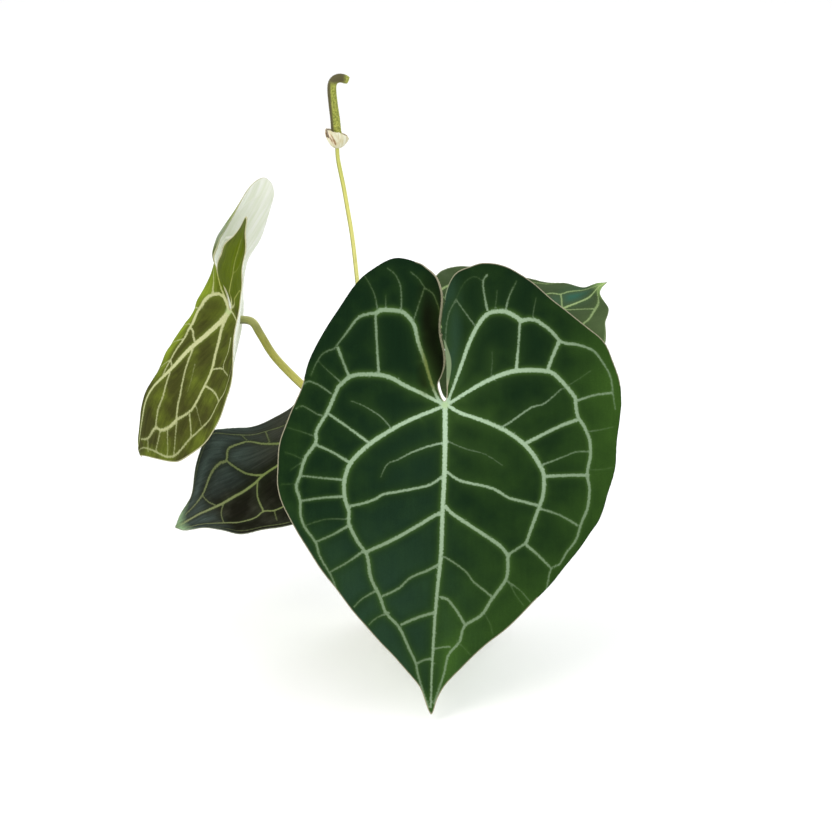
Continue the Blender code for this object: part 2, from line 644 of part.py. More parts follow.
spathe_faces = []
for row in range(SPATHE_ROWS):
    for column in range(SPATHE_COLUMNS):
        a = row * (SPATHE_COLUMNS + 1) + column
        b = a + SPATHE_COLUMNS + 1
        spathe_faces.append((a, b, b + 1))
        spathe_faces.append((a, b + 1, a + 1))
spathe_points = bract_sheet(SPATHE_ROWS, SPATHE_COLUMNS) * MM
spathe = piece("spathe", mesh_of(spathe_points, spathe_faces), (0.74, 0.66, 0.50), 0.8)
thicken = spathe.modifiers.new("thickness", "SOLIDIFY")
thicken.thickness = 0.0007
thicken.offset = 1
apply_all(spathe)
smooth(spathe)


# Spadix: the hooked flower spike, a tapering rod with knobbly rows of tiny flowers.

SPADIX_WAY = [
    (-71.4, 35.8, 341.7), (-71.5, 36, 350), (-72.1, 36, 359), (-73.3, 36, 369), (-74.1, 36, 379), (-73.3, 36, 384),
    (-70.6, 36, 386.4), (-67, 36, 386.7), (-62.6, 36, 385),
]
spine = smooth_line(SPADIX_WAY, False, 1.5) * MM
run = np.gradient(spine, axis=0)
run /= np.linalg.norm(run, axis=1, keepdims=True)
SIDES = 12
spadix_points = [tuple(spine[0])]
for i, (centre, along) in enumerate(zip(spine, run)):
    front = np.array([0.0, -1.0, 0.0])
    right = np.cross(along, front)
    done = i / (len(spine) - 1)
    base = 0.0030 + 0.0006 * math.exp(-done * 5) - 0.0012 * math.exp(-done * 22) - 0.0002 * done
    if i == len(spine) - 1:
        base *= 0.62
    if i == 0:
        base *= 0.55
    for side in range(SIDES):
        angle = math.tau * (side + 0.5 * (i % 2)) / SIDES
        bump = 0.00022 if (side + i // 2) % 2 else -0.00012
        outward = math.cos(angle) * right + math.sin(angle) * front
        spadix_points.append(tuple(centre + (base + bump) * outward))
spadix_points.append(tuple(spine[-1] + run[-1] * 0.0012))
spadix_faces = []
for side in range(SIDES):
    spadix_faces.append((0, 1 + (side + 1) % SIDES, 1 + side))
for i in range(len(spine) - 1):
    for side in range(SIDES):
        other = (side + 1) % SIDES
        a, b = 1 + i * SIDES, 1 + (i + 1) * SIDES
        spadix_faces.append((a + side, a + other, b + other))
        spadix_faces.append((a + side, b + other, b + side))
top = 1 + (len(spine) - 1) * SIDES
for side in range(SIDES):
    spadix_faces.append((top + side, top + (side + 1) % SIDES, top + SIDES))
spadix_mesh = mesh_of(spadix_points, spadix_faces)
build = bmesh.new()
build.from_mesh(spadix_mesh)
bmesh.ops.recalc_face_normals(build, faces=build.faces)
build.to_mesh(spadix_mesh)
build.free()
spadix = piece("spadix", spadix_mesh, (0.30, 0.34, 0.12), 0.7)
smooth(spadix)
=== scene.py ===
"""Potted velvet-leaved anthurium: the finished surfaces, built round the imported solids.

Lists of points, and the functions that bend a leaf, are in millimetres, with u across a flat leaf and w up
along it from the notch; everything else is in metres. The origin is under the middle of the pot, +Z is up and
-Y is the side that the big leaf faces.
"""

import math

import bmesh
import bpy
import numpy as np
from mathutils import Matrix, Vector
from mathutils.geometry import delaunay_2d_cdt
from mathutils.kdtree import KDTree


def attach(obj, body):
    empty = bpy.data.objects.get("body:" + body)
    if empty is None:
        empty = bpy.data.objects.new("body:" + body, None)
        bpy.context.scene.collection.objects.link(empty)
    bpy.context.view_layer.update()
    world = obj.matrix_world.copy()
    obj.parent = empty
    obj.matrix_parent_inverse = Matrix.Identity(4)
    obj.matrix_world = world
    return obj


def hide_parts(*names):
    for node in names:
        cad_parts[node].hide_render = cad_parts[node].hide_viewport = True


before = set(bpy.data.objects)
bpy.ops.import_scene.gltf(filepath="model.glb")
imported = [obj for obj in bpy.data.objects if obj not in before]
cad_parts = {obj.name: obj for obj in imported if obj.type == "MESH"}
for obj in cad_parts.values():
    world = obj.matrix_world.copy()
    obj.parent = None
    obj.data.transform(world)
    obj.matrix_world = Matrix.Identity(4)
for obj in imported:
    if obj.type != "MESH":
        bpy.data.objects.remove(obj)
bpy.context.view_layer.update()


# Studio. A pale floor runs off past every edge of the view under an even white sky, with one large soft light
# high on the left in front and a weaker one behind on the right.

CAMERA_AT = (-0.017, -1.2917, 0.5777)
CAMERA_TILT = 72.0
CAMERA_LENS = 84.5
LIT_SPOT = (0.0, 0.0, 0.2)
FLOOR = 15.0


def linear(code):
    """An sRGB hex colour as linear red, green, blue and alpha."""
    parts = [int(code[i : i + 2], 16) / 255 for i in (1, 3, 5)]
    return tuple(c / 12.92 if c <= 0.04045 else ((c + 0.055) / 1.055) ** 2.4 for c in parts) + (1.0,)


def add(tree, kind, inputs=None, **settings):
    """Adds a node; each input takes a value or the socket that feeds it."""
    made = tree.nodes.new(kind)
    for key, value in settings.items():
        setattr(made, key, value)
    for key, value in (inputs or {}).items():
        if isinstance(value, bpy.types.NodeSocket):
            tree.links.new(value, made.inputs[key])
        else:
            made.inputs[key].default_value = value
    return made


def finish(name, **shader_values):
    """A new material with one shader; words in shader_values are its input names with _ for a space."""
    made = bpy.data.materials.new(name)
    made.use_nodes = True
    made.node_tree.nodes.clear()
    shader = add(made.node_tree, "ShaderNodeBsdfPrincipled")
    add(made.node_tree, "ShaderNodeOutputMaterial", {"Surface": shader.outputs[0]})
    for key, value in shader_values.items():
        shader.inputs[key.replace("_", " ")].default_value = value
    return made, made.node_tree, shader


def put(name, data):
    """A new object at the origin of the scene."""
    made = bpy.data.objects.new(name, data)
    bpy.context.scene.collection.objects.link(made)
    return made


def mesh_object(name, points, faces, *materials):
    """A smooth mesh object at the origin."""
    mesh = bpy.data.meshes.new(name)
    mesh.from_pydata(np.asarray(points, float).tolist(), [], faces)
    for each in materials:
        mesh.materials.append(each)
    mesh.polygons.foreach_set("use_smooth", [True] * len(mesh.polygons))
    mesh.update()
    return put(name, mesh)


def soft_light(name, place, size, watts, code):
    """A round lamp that points at the middle of the plant."""
    lamp = bpy.data.lights.new(name, "AREA")
    lamp.shape = "DISK"
    lamp.size = size
    lamp.energy = watts
    lamp.color = linear(code)[:3]
    made = put(name, lamp)
    made.location = place
    made.rotation_euler = (Vector(LIT_SPOT) - Vector(place)).to_track_quat("-Z", "Y").to_euler()


lens = bpy.data.cameras.new("camera")
lens.lens = CAMERA_LENS
lens.sensor_width = 36.0
lens.clip_end = 60.0
camera = put("camera", lens)
camera.location = CAMERA_AT
camera.rotation_euler = (math.radians(CAMERA_TILT), 0.0, 0.0)
bpy.context.scene.camera = camera
bpy.context.scene.view_settings.view_transform = "Standard"

sky = bpy.data.worlds.new("studio")
sky.use_nodes = True
sky.node_tree.nodes["Background"].inputs["Color"].default_value = linear("#ffffff")
sky.node_tree.nodes["Background"].inputs["Strength"].default_value = 1.0
bpy.context.scene.world = sky

soft_light("key", (-1.1, -1.5, 1.6), 1.2, 14.0, "#fffaf2")
soft_light("back", (0.9, 1.3, 1.1), 1.0, 9.0, "#f6faff")

paper, _, shader = finish("matt white studio floor", Roughness=0.9, Specular_IOR_Level=0.1)
shader.inputs["Base Color"].default_value = linear("#ffffff")
corners = [(x * FLOOR, y * FLOOR, 0) for x, y in ((-1, -1), (1, -1), (1, 1), (-1, 1))]
floor = mesh_object("studio_floor", corners, [(0, 1, 2, 3)], paper)


# Leaf blades. Each is one leathery sheet about half a millimetre thick, with a velvet upper side, a pale
# smooth underside and raised veins below; it grows as one piece and joins its stalk at the notch.

MM = 0.001


def smooth_line(points, closed, step):
    """A rounded line through the points, cut into pieces of about the given length."""
    p = np.asarray(points, float)
    count = len(p)
    made = []
    for i in range(count if closed else count - 1):
        near = [p[(i + k) % count] if closed else p[min(max(i + k, 0), count - 1)] for k in (-1, 0, 1, 2)]
        a, b, c, d = near
        pieces = max(1, round(float(np.linalg.norm(c - b)) / step))
        for k in range(pieces):
            t = k / pieces
            bent = 2 * b + (c - a) * t + (2 * a - 5 * b + 4 * c - d) * t**2
            made.append(0.5 * (bent + (3 * b - a - 3 * c + d) * t**3))
    if not closed:
        made.append(p[-1])
    return np.array(made)


def run_of(line):
    """How far along a line each of its points lies."""
    return np.concatenate([[0], np.cumsum(np.linalg.norm(np.diff(line, axis=0), axis=1))])


def rise(value, start, width):
    """0 up to the start, then a straight climb to 1 within the width."""
    return np.clip((value - start) / width, 0, 1)


def fall(value, end, width):
    """A straight drop from 1 to 0 within the width before the end."""
    return np.clip((end - value) / width, 0, 1)


def sway(value, middle, width):
    """A soft step from 0 to 1 about the middle."""
    return 1 / (1 + np.exp(-(value - middle) / width))


def bell(*terms):
    """A soft hill, 1 at its top; each term is a value, the middle of the hill along it and its width."""
    return np.exp(-sum(((value - middle) / width) ** 2 for value, middle, width in terms))


FRONT_OUTLINE = [
    (-0.6, 0.6), (-3.2, 4.5), (-4.6, 11), (-1.6, 17.9), (-0.2, 24.5), (-1.2, 36), (-2.9, 50), (-2.6, 58),
    (-0.9, 70.5), (-4, 80), (-11.5, 86.5), (-18, 90), (-32.6, 92.3), (-48.6, 84.5), (-59.2, 72.8), (-78, 45),
    (-86.4, 27.5), (-93.1, 8), (-100.5, -10.2), (-106.4, -26.2), (-108.4, -43), (-107.1, -56.5), (-99.9, -76),
    (-77.5, -110.3), (-60.2, -132.5), (-42.8, -152.8), (-31.3, -165), (-19.2, -179.1), (-14.7, -186.2),
    (-9, -201), (-4.5, -190), (1.3, -180.5), (12.2, -169), (26.3, -155.1), (41.3, -143.6), (61.9, -122.6),
    (79.4, -103.3), (93, -84.6), (99.1, -76), (104.5, -62.3), (108.9, -44.7), (113.3, -8.6), (113.8, 2),
    (111.4, 18.2), (104.8, 35.8), (91.5, 48), (71.7, 64), (54.2, 77.9), (40, 87.3), (25.6, 89.4), (16, 87),
    (7.2, 82.8), (1.9, 74.5), (-0.5, 63), (-1.7, 55), (-1.9, 47), (-0.4, 36), (0.8, 26), (0.9, 14), (1, 3.8),
]
# Where the slit between the two lobes runs: u at each w.
SLIT = ((0, 10, 25, 36, 48, 57, 70), (0, 0, 0.3, -0.8, -2.4, -2.0, 0.5))
NOTCH_HALF_GAP = 0.6


def heart_outline(half_width, lobe, tip):
    """The outline of a smaller leaf, from fractions of its half width, its lobe and its length to the tip."""
    above = [
        (0.010, 0.02), (0.008, 0.3), (0.018, 0.62), (0.07, 0.84), (0.17, 0.965), (0.30, 1.0), (0.45, 0.95),
        (0.62, 0.78), (0.79, 0.55), (0.91, 0.32), (0.98, 0.08),
    ]
    below = [
        (1.0, -0.06), (0.975, -0.18), (0.90, -0.34), (0.78, -0.49), (0.60, -0.63), (0.40, -0.76),
        (0.22, -0.86), (0.10, -0.93), (0.035, -0.97),
    ]
    right = [(x * half_width + NOTCH_HALF_GAP, y * lobe) for x, y in above]
    right += [(x * half_width, y * tip) for x, y in below]
    return right + [(0.0, -tip)] + [(-x, y) for x, y in reversed(right)]


class Drape:
    """A smooth bend of the flat leaf through handles, each (u, w) and where that point of the leaf is."""

    def __init__(self, handles):
        h = np.asarray(handles, float)
        self.flat = h[:, :2]
        count = len(h)
        bend = self.bend(self.flat, self.flat)
        straight = np.hstack([np.ones((count, 1)), self.flat])
        system = np.block([[bend, straight], [straight.T, np.zeros((3, 3))]])
        self.weights = np.linalg.solve(system, np.vstack([h[:, 2:], np.zeros((3, 3))]))

    @staticmethod
    def bend(a, b):
        """How strongly each point of a thin plate pulls on each other one."""
        square = ((a[:, None] - b[None]) ** 2).sum(2)
        return 0.5 * square * np.log(np.maximum(square, 1e-12))

    def __call__(self, flat):
        """Where flat points lie on the bent leaf."""
        flat = np.atleast_2d(np.asarray(flat, float))
        return np.hstack([self.bend(flat, self.flat), np.ones((len(flat), 1)), flat]) @ self.weights


FRONT_LEAN = 18.0
FRONT_JOINT = (1.6, -100, 200)


def front_drape(flat):
    """The front leaf leans back from upright, its halves a little raised and its rim falling back."""
    flat = np.atleast_2d(np.asarray(flat, float))
    u, w = flat[:, 0], flat[:, 1]
    left = u < np.interp(w, *SLIT)
    lean = math.radians(FRONT_LEAN)
    across = np.sqrt((u - np.interp(-w, [0, 68, 132, 200], [0, -1.3, -5.8, -9])) ** 2 + 9) - 3
    out = 7 * (1 - np.exp(-across / 22)) - 16 * (np.abs(u) / 110) ** 2.2
    out -= np.where(w < 0, 6 * (w / 200) ** 2, 10 * (w / 90) ** 2)
    by_slit = np.exp(-np.abs(u) / 9)
    out += rise(w, 4, 26) * by_slit * np.where(left, -6.0, 2.5)
    back = FRONT_JOINT[1] + w * math.sin(lean) - out * math.cos(lean)
    high = FRONT_JOINT[2] + w * math.cos(lean) + out * math.sin(lean)
    tuck = 1.3 * bell((w, 33, 9)) * by_slit * left
    return np.stack([FRONT_JOINT[0] + u + tuck, back, high], 1)


LEFT_HANDLES = [
    (0, 0, -144, 0, 235), (0, -24, -161, -2, 217), (0, -55, -184, -3, 195), (0, -81, -201, -2, 176),
    (0, -105, -208.5, 2, 152), (0, -123, -212.5, 8, 132), (0, -136, -212.3, 18, 121.5),
    (80, -8, -135, -66, 235), (78, -24, -138, -66, 210), (62, -67, -153.5, -56, 164),
    (38, -98, -179.5, -36, 136), (18, -117, -200.5, -12, 131), (63, 44, -129, -60, 280),
    (49, 63, -128, -50, 296), (24, 80, -129, -32, 306), (6, 67, -140, -14, 288), (3, 50, -148, -6, 275),
    (3, 24, -150, -2, 256), (-20, 0, -166.2, 10, 240), (-21, -25, -178, 13, 220), (-42, -3, -164, 30, 220),
    (-80, -8, -142, 66, 212), (-78, -24, -147, 66, 185), (-62, -67, -162.8, 58, 139.5),
    (-34, -102, -202, 36, 124), (-72, 25, -139.4, 70, 250), (-63, 44, -128, 71, 269),
    (-49, 63, -118, 66, 301), (-36, 77, -123, 58, 315), (-24, 80, -134, 46, 308), (-13, 77, -142.2, 34, 294),
    (-5, 60, -152.2, 20, 281), (-3, 45, -155, 13, 270), (-3, 22, -151, 6, 257), (-22, -50, -190.3, 12, 201),
    (-18, -90, -207.3, 14, 162),
]
LOW_HANDLES = [
    (0, -124, -183.8, -30, 87), (0, -108, -177, -26, 90), (0, -78, -156, -14, 97), (0, -55, -140, -5, 103),
    (0, -30, -125, 3, 113), (0, 0, -95, 12, 132), (20, -106, -162, -36, 87), (40, -78, -138, -40, 86),
    (58, -45, -103, -40, 92), (64, 0, -66, -36, 106), (-14, -108, -176, -8, 100), (-30, -88, -172.8, 14, 117),
    (-46, -66, -162, 34, 136), (-58, -40, -139, 48, 133), (-64, -8, -109, 60, 145), (20, 52, -53, 10, 148),
    (-20, 52, -62, 30, 164), (45, 30, -52, -10, 133), (-45, 30, -83, 60, 162),
]
BACK_HANDLES = [
    (0, -118, 118, 50, 242), (0, -108, 111, 47, 238), (0, -80, 91, 36, 228), (0, -40, 61, 24, 217),
    (0, 0, 29, 12, 206), (36, -76, 77, 66, 238.1), (-40, -70, 113.8, 14, 205), (-56, -38, 82, -6, 175),
    (-62, 0, 41, -14, 163), (46, -61, 59.6, 67, 239.6), (25, -90, 91.1, 62.7, 237.1),
    (14, -101, 103.2, 58, 235.3), (-6, -110, 112.7, 44.4, 234.8), (-14, -101, 118.3, 38.9, 225.2),
    (-25, -90, 116.3, 29, 218.3), (57, 18, 0, 42.9, 250.8), (46, 32, -4.6, 33.6, 245.1),
    (62, -7, 10.5, 52.7, 251.5), (20, 54, -15.1, 14, 222), (56, -40, 40.2, 64.3, 247.7),
    (-18, 54, 0.2, -4, 181.4), (-46, 30, 14.7, -22, 174.9),
]
DRAPES = {
    "front": front_drape,
    "left": Drape(LEFT_HANDLES),
    "low": Drape(LOW_HANDLES),
    "back": Drape(BACK_HANDLES),
}


def upward(drape, flat, step=0.1):
    """The upper side's direction at points of a leaf."""
    across = drape(flat + [step, 0]) - drape(flat - [step, 0])
    along = drape(flat + [0, step]) - drape(flat - [0, step])
    made = np.cross(across, along)
    return made / np.linalg.norm(made, axis=1, keepdims=True)


def finder_of(points):
    """A quick way to the nearest of some flat points."""
    made = KDTree(len(points))
    for i, place in enumerate(points):
        made.insert((*place, 0.0), i)
    made.balance()
    return made


def rim_run(rim, flat):
    """How far each point is from the margin, and how far round the margin its nearest point lies."""
    finder = finder_of(rim)
    found = [finder.find((x, y, 0.0)) for x, y in flat]
    return np.array([f[2] for f in found]), run_of(rim)[[f[1] for f in found]]


def rim_wave(flat, apart, run, height):
    """How far the margin waves up and down, fading to nothing a finger's width in from it and by the slit."""
    tall = height * (np.sin(run * math.tau / 47) + 0.6 * np.sin(run * math.tau / 29 + 1.3))
    away = np.clip(1 - np.abs(flat[:, 1] - 20) / 12, 0, 1) * (np.abs(flat[:, 0]) < 8)
    return tall * bell((apart, 0, 9)) * (1 - away)


def inside(rim, flat):
    """Which points lie inside the margin."""
    made = np.zeros(len(flat), bool)
    a, b = rim, np.roll(rim, -1, axis=0)
    for (ax, ay), (bx, by) in zip(a, b):
        if ay == by:
            continue
        crosses = (ay > flat[:, 1]) != (by > flat[:, 1])
        made ^= crosses & (flat[:, 0] < (bx - ax) * (flat[:, 1] - ay) / (by - ay) + ax)
    return made


FAR_FROM_VEINS = 60.0


def vein_fields(veins, flat, fill):
    """For each point: distance to the edge of the nearest vein (negative inside it), how pale that vein is,
    the green glow beside veins, and how far veins stand out below. A vein as wide as fill is half pale."""
    edge = np.full(len(flat), FAR_FROM_VEINS)
    pale = np.zeros(len(flat))
    glow = np.zeros(len(flat))
    rib = np.zeros(len(flat))
    from_notch = np.linalg.norm(flat, axis=1)
    for order, (widths, way) in enumerate(veins):
        line = smooth_line(way, False, 2.5)
        low, high = line.min(0) - 16, line.max(0) + 16
        near = np.flatnonzero(((flat > low) & (flat < high)).all(1))
        if not len(near):
            continue
        lengths = np.linalg.norm(np.diff(line, axis=0), axis=1)
        run = np.concatenate([[0], np.cumsum(lengths)]) / lengths.sum()
        width = np.interp(run, (0.0, 0.5, 1.0), widths)
        best = np.full(len(near), 90.0)
        wide = np.ones(len(near))
        for i, length in enumerate(lengths):
            if length < 1e-6:
                continue
            along = (line[i + 1] - line[i]) / length
            off = flat[near] - line[i]
            t = np.clip(off @ along, 0, length)
            apart = np.linalg.norm(off - t[:, None] * along, axis=1)
            w = width[i] + (width[i + 1] - width[i]) * t / length
            closer = apart - w / 2 < best - wide / 2
            best = np.where(closer, apart, best)
            wide = np.where(closer, w, wide)
        out = best - wide / 2
        nearer = out < edge[near]
        edge[near] = np.where(nearer, out, edge[near])
        far = from_notch[near]
        light = 0.82 * (1 - np.exp(-((wide / fill) ** 1.5))) * (1 - 0.2 * rise(far, 60, 50))
        light += 0.2 * np.exp(-far / 18)
        if order == 0:
            light = 0.62 + 0.12 * wide
        pale[near] = np.where(nearer, np.clip(light, 0, 1), pale[near])
        outside = np.maximum(out, 0)
        spread = 3.0 + 3.0 * sway(flat[near, 0], 0, 6)
        haze = 0.6 * np.exp(-far / 44) * np.exp(-outside / spread)
        beside = np.clip(0.15 + 0.24 * wide, 0, 1) * np.exp(-outside / (0.35 + 0.45 * wide))
        glow[near] = np.maximum(glow[near], np.maximum(beside, haze))
        bulge = 0.42 * wide * np.sqrt(np.maximum(1 - (best / (0.62 * wide + 0.5)) ** 2, 0))
        rib[near] = np.maximum(rib[near], bulge)
    return edge, pale, glow, rib


BARBED_FROM = 1.7
BARB_WIDTHS = (0.5, 0.35, 0.2)


def spurs(veins, seed):
    """Short barbs that stand off the thick arches, as the finest veins do where they start."""
    luck = np.random.default_rng(seed)
    made = []
    for widths, way in veins:
        if widths[1] < BARBED_FROM:
            continue
        line = smooth_line(way, False, 5.0)
        for i in range(2, len(line) - 2, 4):
            along = line[i + 1] - line[i]
            side = np.array([-along[1], along[0]]) / np.linalg.norm(along) * luck.choice((-1, 1))
            reach = widths[1] / 2 + luck.uniform(0.5, 1.5)
            start = line[i] + along * luck.uniform(0, 1)
            middle = start + side * reach * 0.6
            end = start + (side + 0.2 * along / 5) * reach
            made.append((BARB_WIDTHS, [start, middle, end]))
    return made


ROW_SHARE = 0.866
CELL_JITTER = 0.12
CELL_CLEARANCE = 0.62


def cut_into_cells(rim, veins, cell, luck):
    """The flat leaf as triangles about a cell across, with the margin and every vein along their edges."""
    points = [tuple(p) for p in rim]
    lines = [(i, (i + 1) % len(rim)) for i in range(len(rim))]
    for _, way in veins:
        centre = smooth_line(way, False, 1.6)
        centre = centre[inside(rim, centre)]
        first = len(points)
        points += [tuple(p) for p in centre]
        for i in range(len(centre) - 1):
            if np.linalg.norm(centre[i] - centre[i + 1]) < 3:
                lines.append((first + i, first + i + 1))
    fixed = finder_of(points)
    low, high = rim.min(0), rim.max(0)
    grid = []
    for r in range(int((high[1] - low[1]) / (cell * ROW_SHARE)) + 1):
        for c in range(int((high[0] - low[0]) / cell) + 2):
            grid.append((low[0] + (c + 0.5 * (r % 2)) * cell, low[1] + r * cell * ROW_SHARE))
    grid = np.array(grid)
    grid += luck.uniform(-CELL_JITTER, CELL_JITTER, grid.shape) * cell
    grid = grid[inside(rim, grid)]
    points += [(x, y) for x, y in grid if fixed.find((x, y, 0.0))[2] > CELL_CLEARANCE * cell]
    flat, _, faces, _, _, _ = delaunay_2d_cdt([Vector(p) for p in points], lines, [], 1, 1e-4)
    flat = np.array([tuple(p) for p in flat])
    faces = np.array([tuple(f) for f in faces])
    a, b, c = flat[faces[:, 0]], flat[faces[:, 1]], flat[faces[:, 2]]
    turned = (b[:, 0] - a[:, 0]) * (c[:, 1] - a[:, 1]) - (b[:, 1] - a[:, 1]) * (c[:, 0] - a[:, 0]) < 0
    faces[turned] = faces[turned][:, ::-1]
    used = np.unique(faces)
    renumber = np.full(len(flat), -1)
    renumber[used] = np.arange(len(used))
    return flat[used], renumber[faces]


def carry(mesh, label, values):
    """Stores a number or a vector at each point of a mesh."""
    values = np.asarray(values, np.float32)
    kind, key = ("FLOAT", "value") if values.ndim == 1 else ("FLOAT_VECTOR", "vector")
    mesh.attributes.new(label, kind, "POINT").data.foreach_set(key, values.ravel())


def leaf_mesh(name, outline, drape, wave, veins, fill, cell, seed, tint, *materials):
    """The leaf as a closed thin sheet, in cells fine enough to carry each vein as a line of its own points.
    Its margin waves by wave, and a vein as wide as fill is half pale. tint gives five numbers for each flat
    point: which of the two leaf greens shows, in part painted light and shade; how much of the blush, which
    is painted shade on some leaves, and of the painted sheen and shade; how far in from the margin the pale
    edge reaches beyond its usual half millimetre; and how much the veins have faded."""
    flat, faces = cut_into_cells(smooth_line(outline, True, 1.4), veins, cell, np.random.default_rng(seed))
    count = len(flat)
    apart, run = rim_run(smooth_line(outline, True, 2.0), flat)
    edge, pale, glow, rib = vein_fields(list(veins) + spurs(veins, seed), flat, fill)
    rib *= rise(apart, 0, 3)
    up = upward(drape, flat)
    middle = drape(flat) + up * rim_wave(flat, apart, run, wave)[:, None]
    inner = rise(apart, 0, 6)
    puff = 0.38 * (1 - bell((np.maximum(edge, 0), 0, 3.2))) * inner
    u, w = flat.T
    ripple = 0.16 * np.sin(u / 3.7 + 1.3 * np.sin(w / 6.1)) * np.sin(w / 4.9 + seed) * inner
    upper = middle + up * (puff + ripple - 0.30 * inner + 0.10 * np.clip(-edge, 0, 1.5))[:, None]
    thick = 0.45 + 0.35 * inner
    under = middle - up * (thick + 0.05 + rib)[:, None]
    sides = np.vstack([faces[:, [0, 1]], faces[:, [1, 2]], faces[:, [2, 0]]])
    _, where, often = np.unique(sides.min(1) * count + sides.max(1), return_index=True, return_counts=True)
    border = sides[where[often == 1]]
    walls = [(j, i, i + count, j + count) for i, j in border.tolist()]
    every = faces.tolist() + (faces[:, ::-1] + count).tolist() + walls
    made = mesh_object(name, np.vstack([upper, under]) * MM, every, *materials)
    made.data.polygons.foreach_set("material_index", [0] * len(faces) + [1] * len(faces) + [0] * len(walls))
    rim_apart, _ = rim_run(smooth_line(outline, True, 0.3), flat)
    tone_and_light, blush_and_shade, sheen_and_shade, edging, faded = tint(flat, apart)
    fields = {"vein_edge": edge, "vein_pale": pale * (1 - faded), "glow": glow, "margin": rim_apart - edging}
    fields |= {"tone_and_light": tone_and_light, "blush_and_shade": blush_and_shade, "sheen_and_shade": sheen_and_shade}
    for label, values in fields.items():
        carry(made.data, label, np.tile(values, 2))
    carry(made.data, "flat_mm", np.tile(np.hstack([flat, np.zeros((count, 1))]), (2, 1)))
    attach(made, "root")
    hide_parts(name.replace("leaf_", "blade_"))


def field(tree, label, output="Fac"):
    """What the mesh carries under a name."""
    return add(tree, "ShaderNodeAttribute", attribute_name=label).outputs[output]


def sums(tree, operation, *values, **settings):
    """A number worked out from one to three others."""
    return add(tree, "ShaderNodeMath", dict(enumerate(values)), operation=operation, **settings).outputs[0]


def measure(tree, operation, *vectors):
    """A number worked out from vectors: a length, a distance or a dot product."""
    return add(tree, "ShaderNodeVectorMath", dict(enumerate(vectors)), operation=operation).outputs["Value"]


def axis(tree, vector, index):
    """One number of a vector."""
    return add(tree, "ShaderNodeSeparateXYZ", {0: vector}).outputs[index]


def scaled(tree, value, low, high, first=0.0, last=1.0, kind="LINEAR"):
    """A value between low and high, carried over to between first and last."""
    inputs = {0: value, 1: low, 2: high, 3: first, 4: last}
    return add(tree, "ShaderNodeMapRange", inputs, interpolation_type=kind).outputs[0]


def noise(tree, at, scale, detail, roughness=0.5):
    """Cloudy noise, mostly between 0.3 and 0.7."""
    inputs = {"Vector": at, "Scale": scale, "Detail": detail, "Roughness": roughness}
    return add(tree, "ShaderNodeTexNoise", inputs).outputs["Fac"]


def stretched(tree, at, scale, turn=0.0):
    """Coordinates scaled along each axis and turned about Z, for long or slanting grain."""
    return add(tree, "ShaderNodeMapping", {"Vector": at, "Scale": scale, "Rotation": (0, 0, turn)}).outputs[0]


def blend(tree, share, first, second):
    """A mix of two colours, each a hex code or a socket."""
    first, second = (linear(each) if isinstance(each, str) else each for each in (first, second))
    return add(tree, "ShaderNodeMix", {0: share, 6: first, 7: second}, data_type="RGBA").outputs[2]


def dimmed(tree, colour, factor):
    """A colour made darker or brighter by a factor."""
    return add(tree, "ShaderNodeVectorMath", {0: colour, "Scale": factor}, operation="SCALE").outputs[0]


def dress(tree, shader, colour, height, strength, depth):
    """Gives a shader its colour, and a relief of the given depth from a height."""
    tree.links.new(colour, shader.inputs["Base Color"])
    bump = add(tree, "ShaderNodeBump", {"Strength": strength, "Distance": depth, "Height": height}).outputs[0]
    tree.links.new(bump, shader.inputs["Normal"])


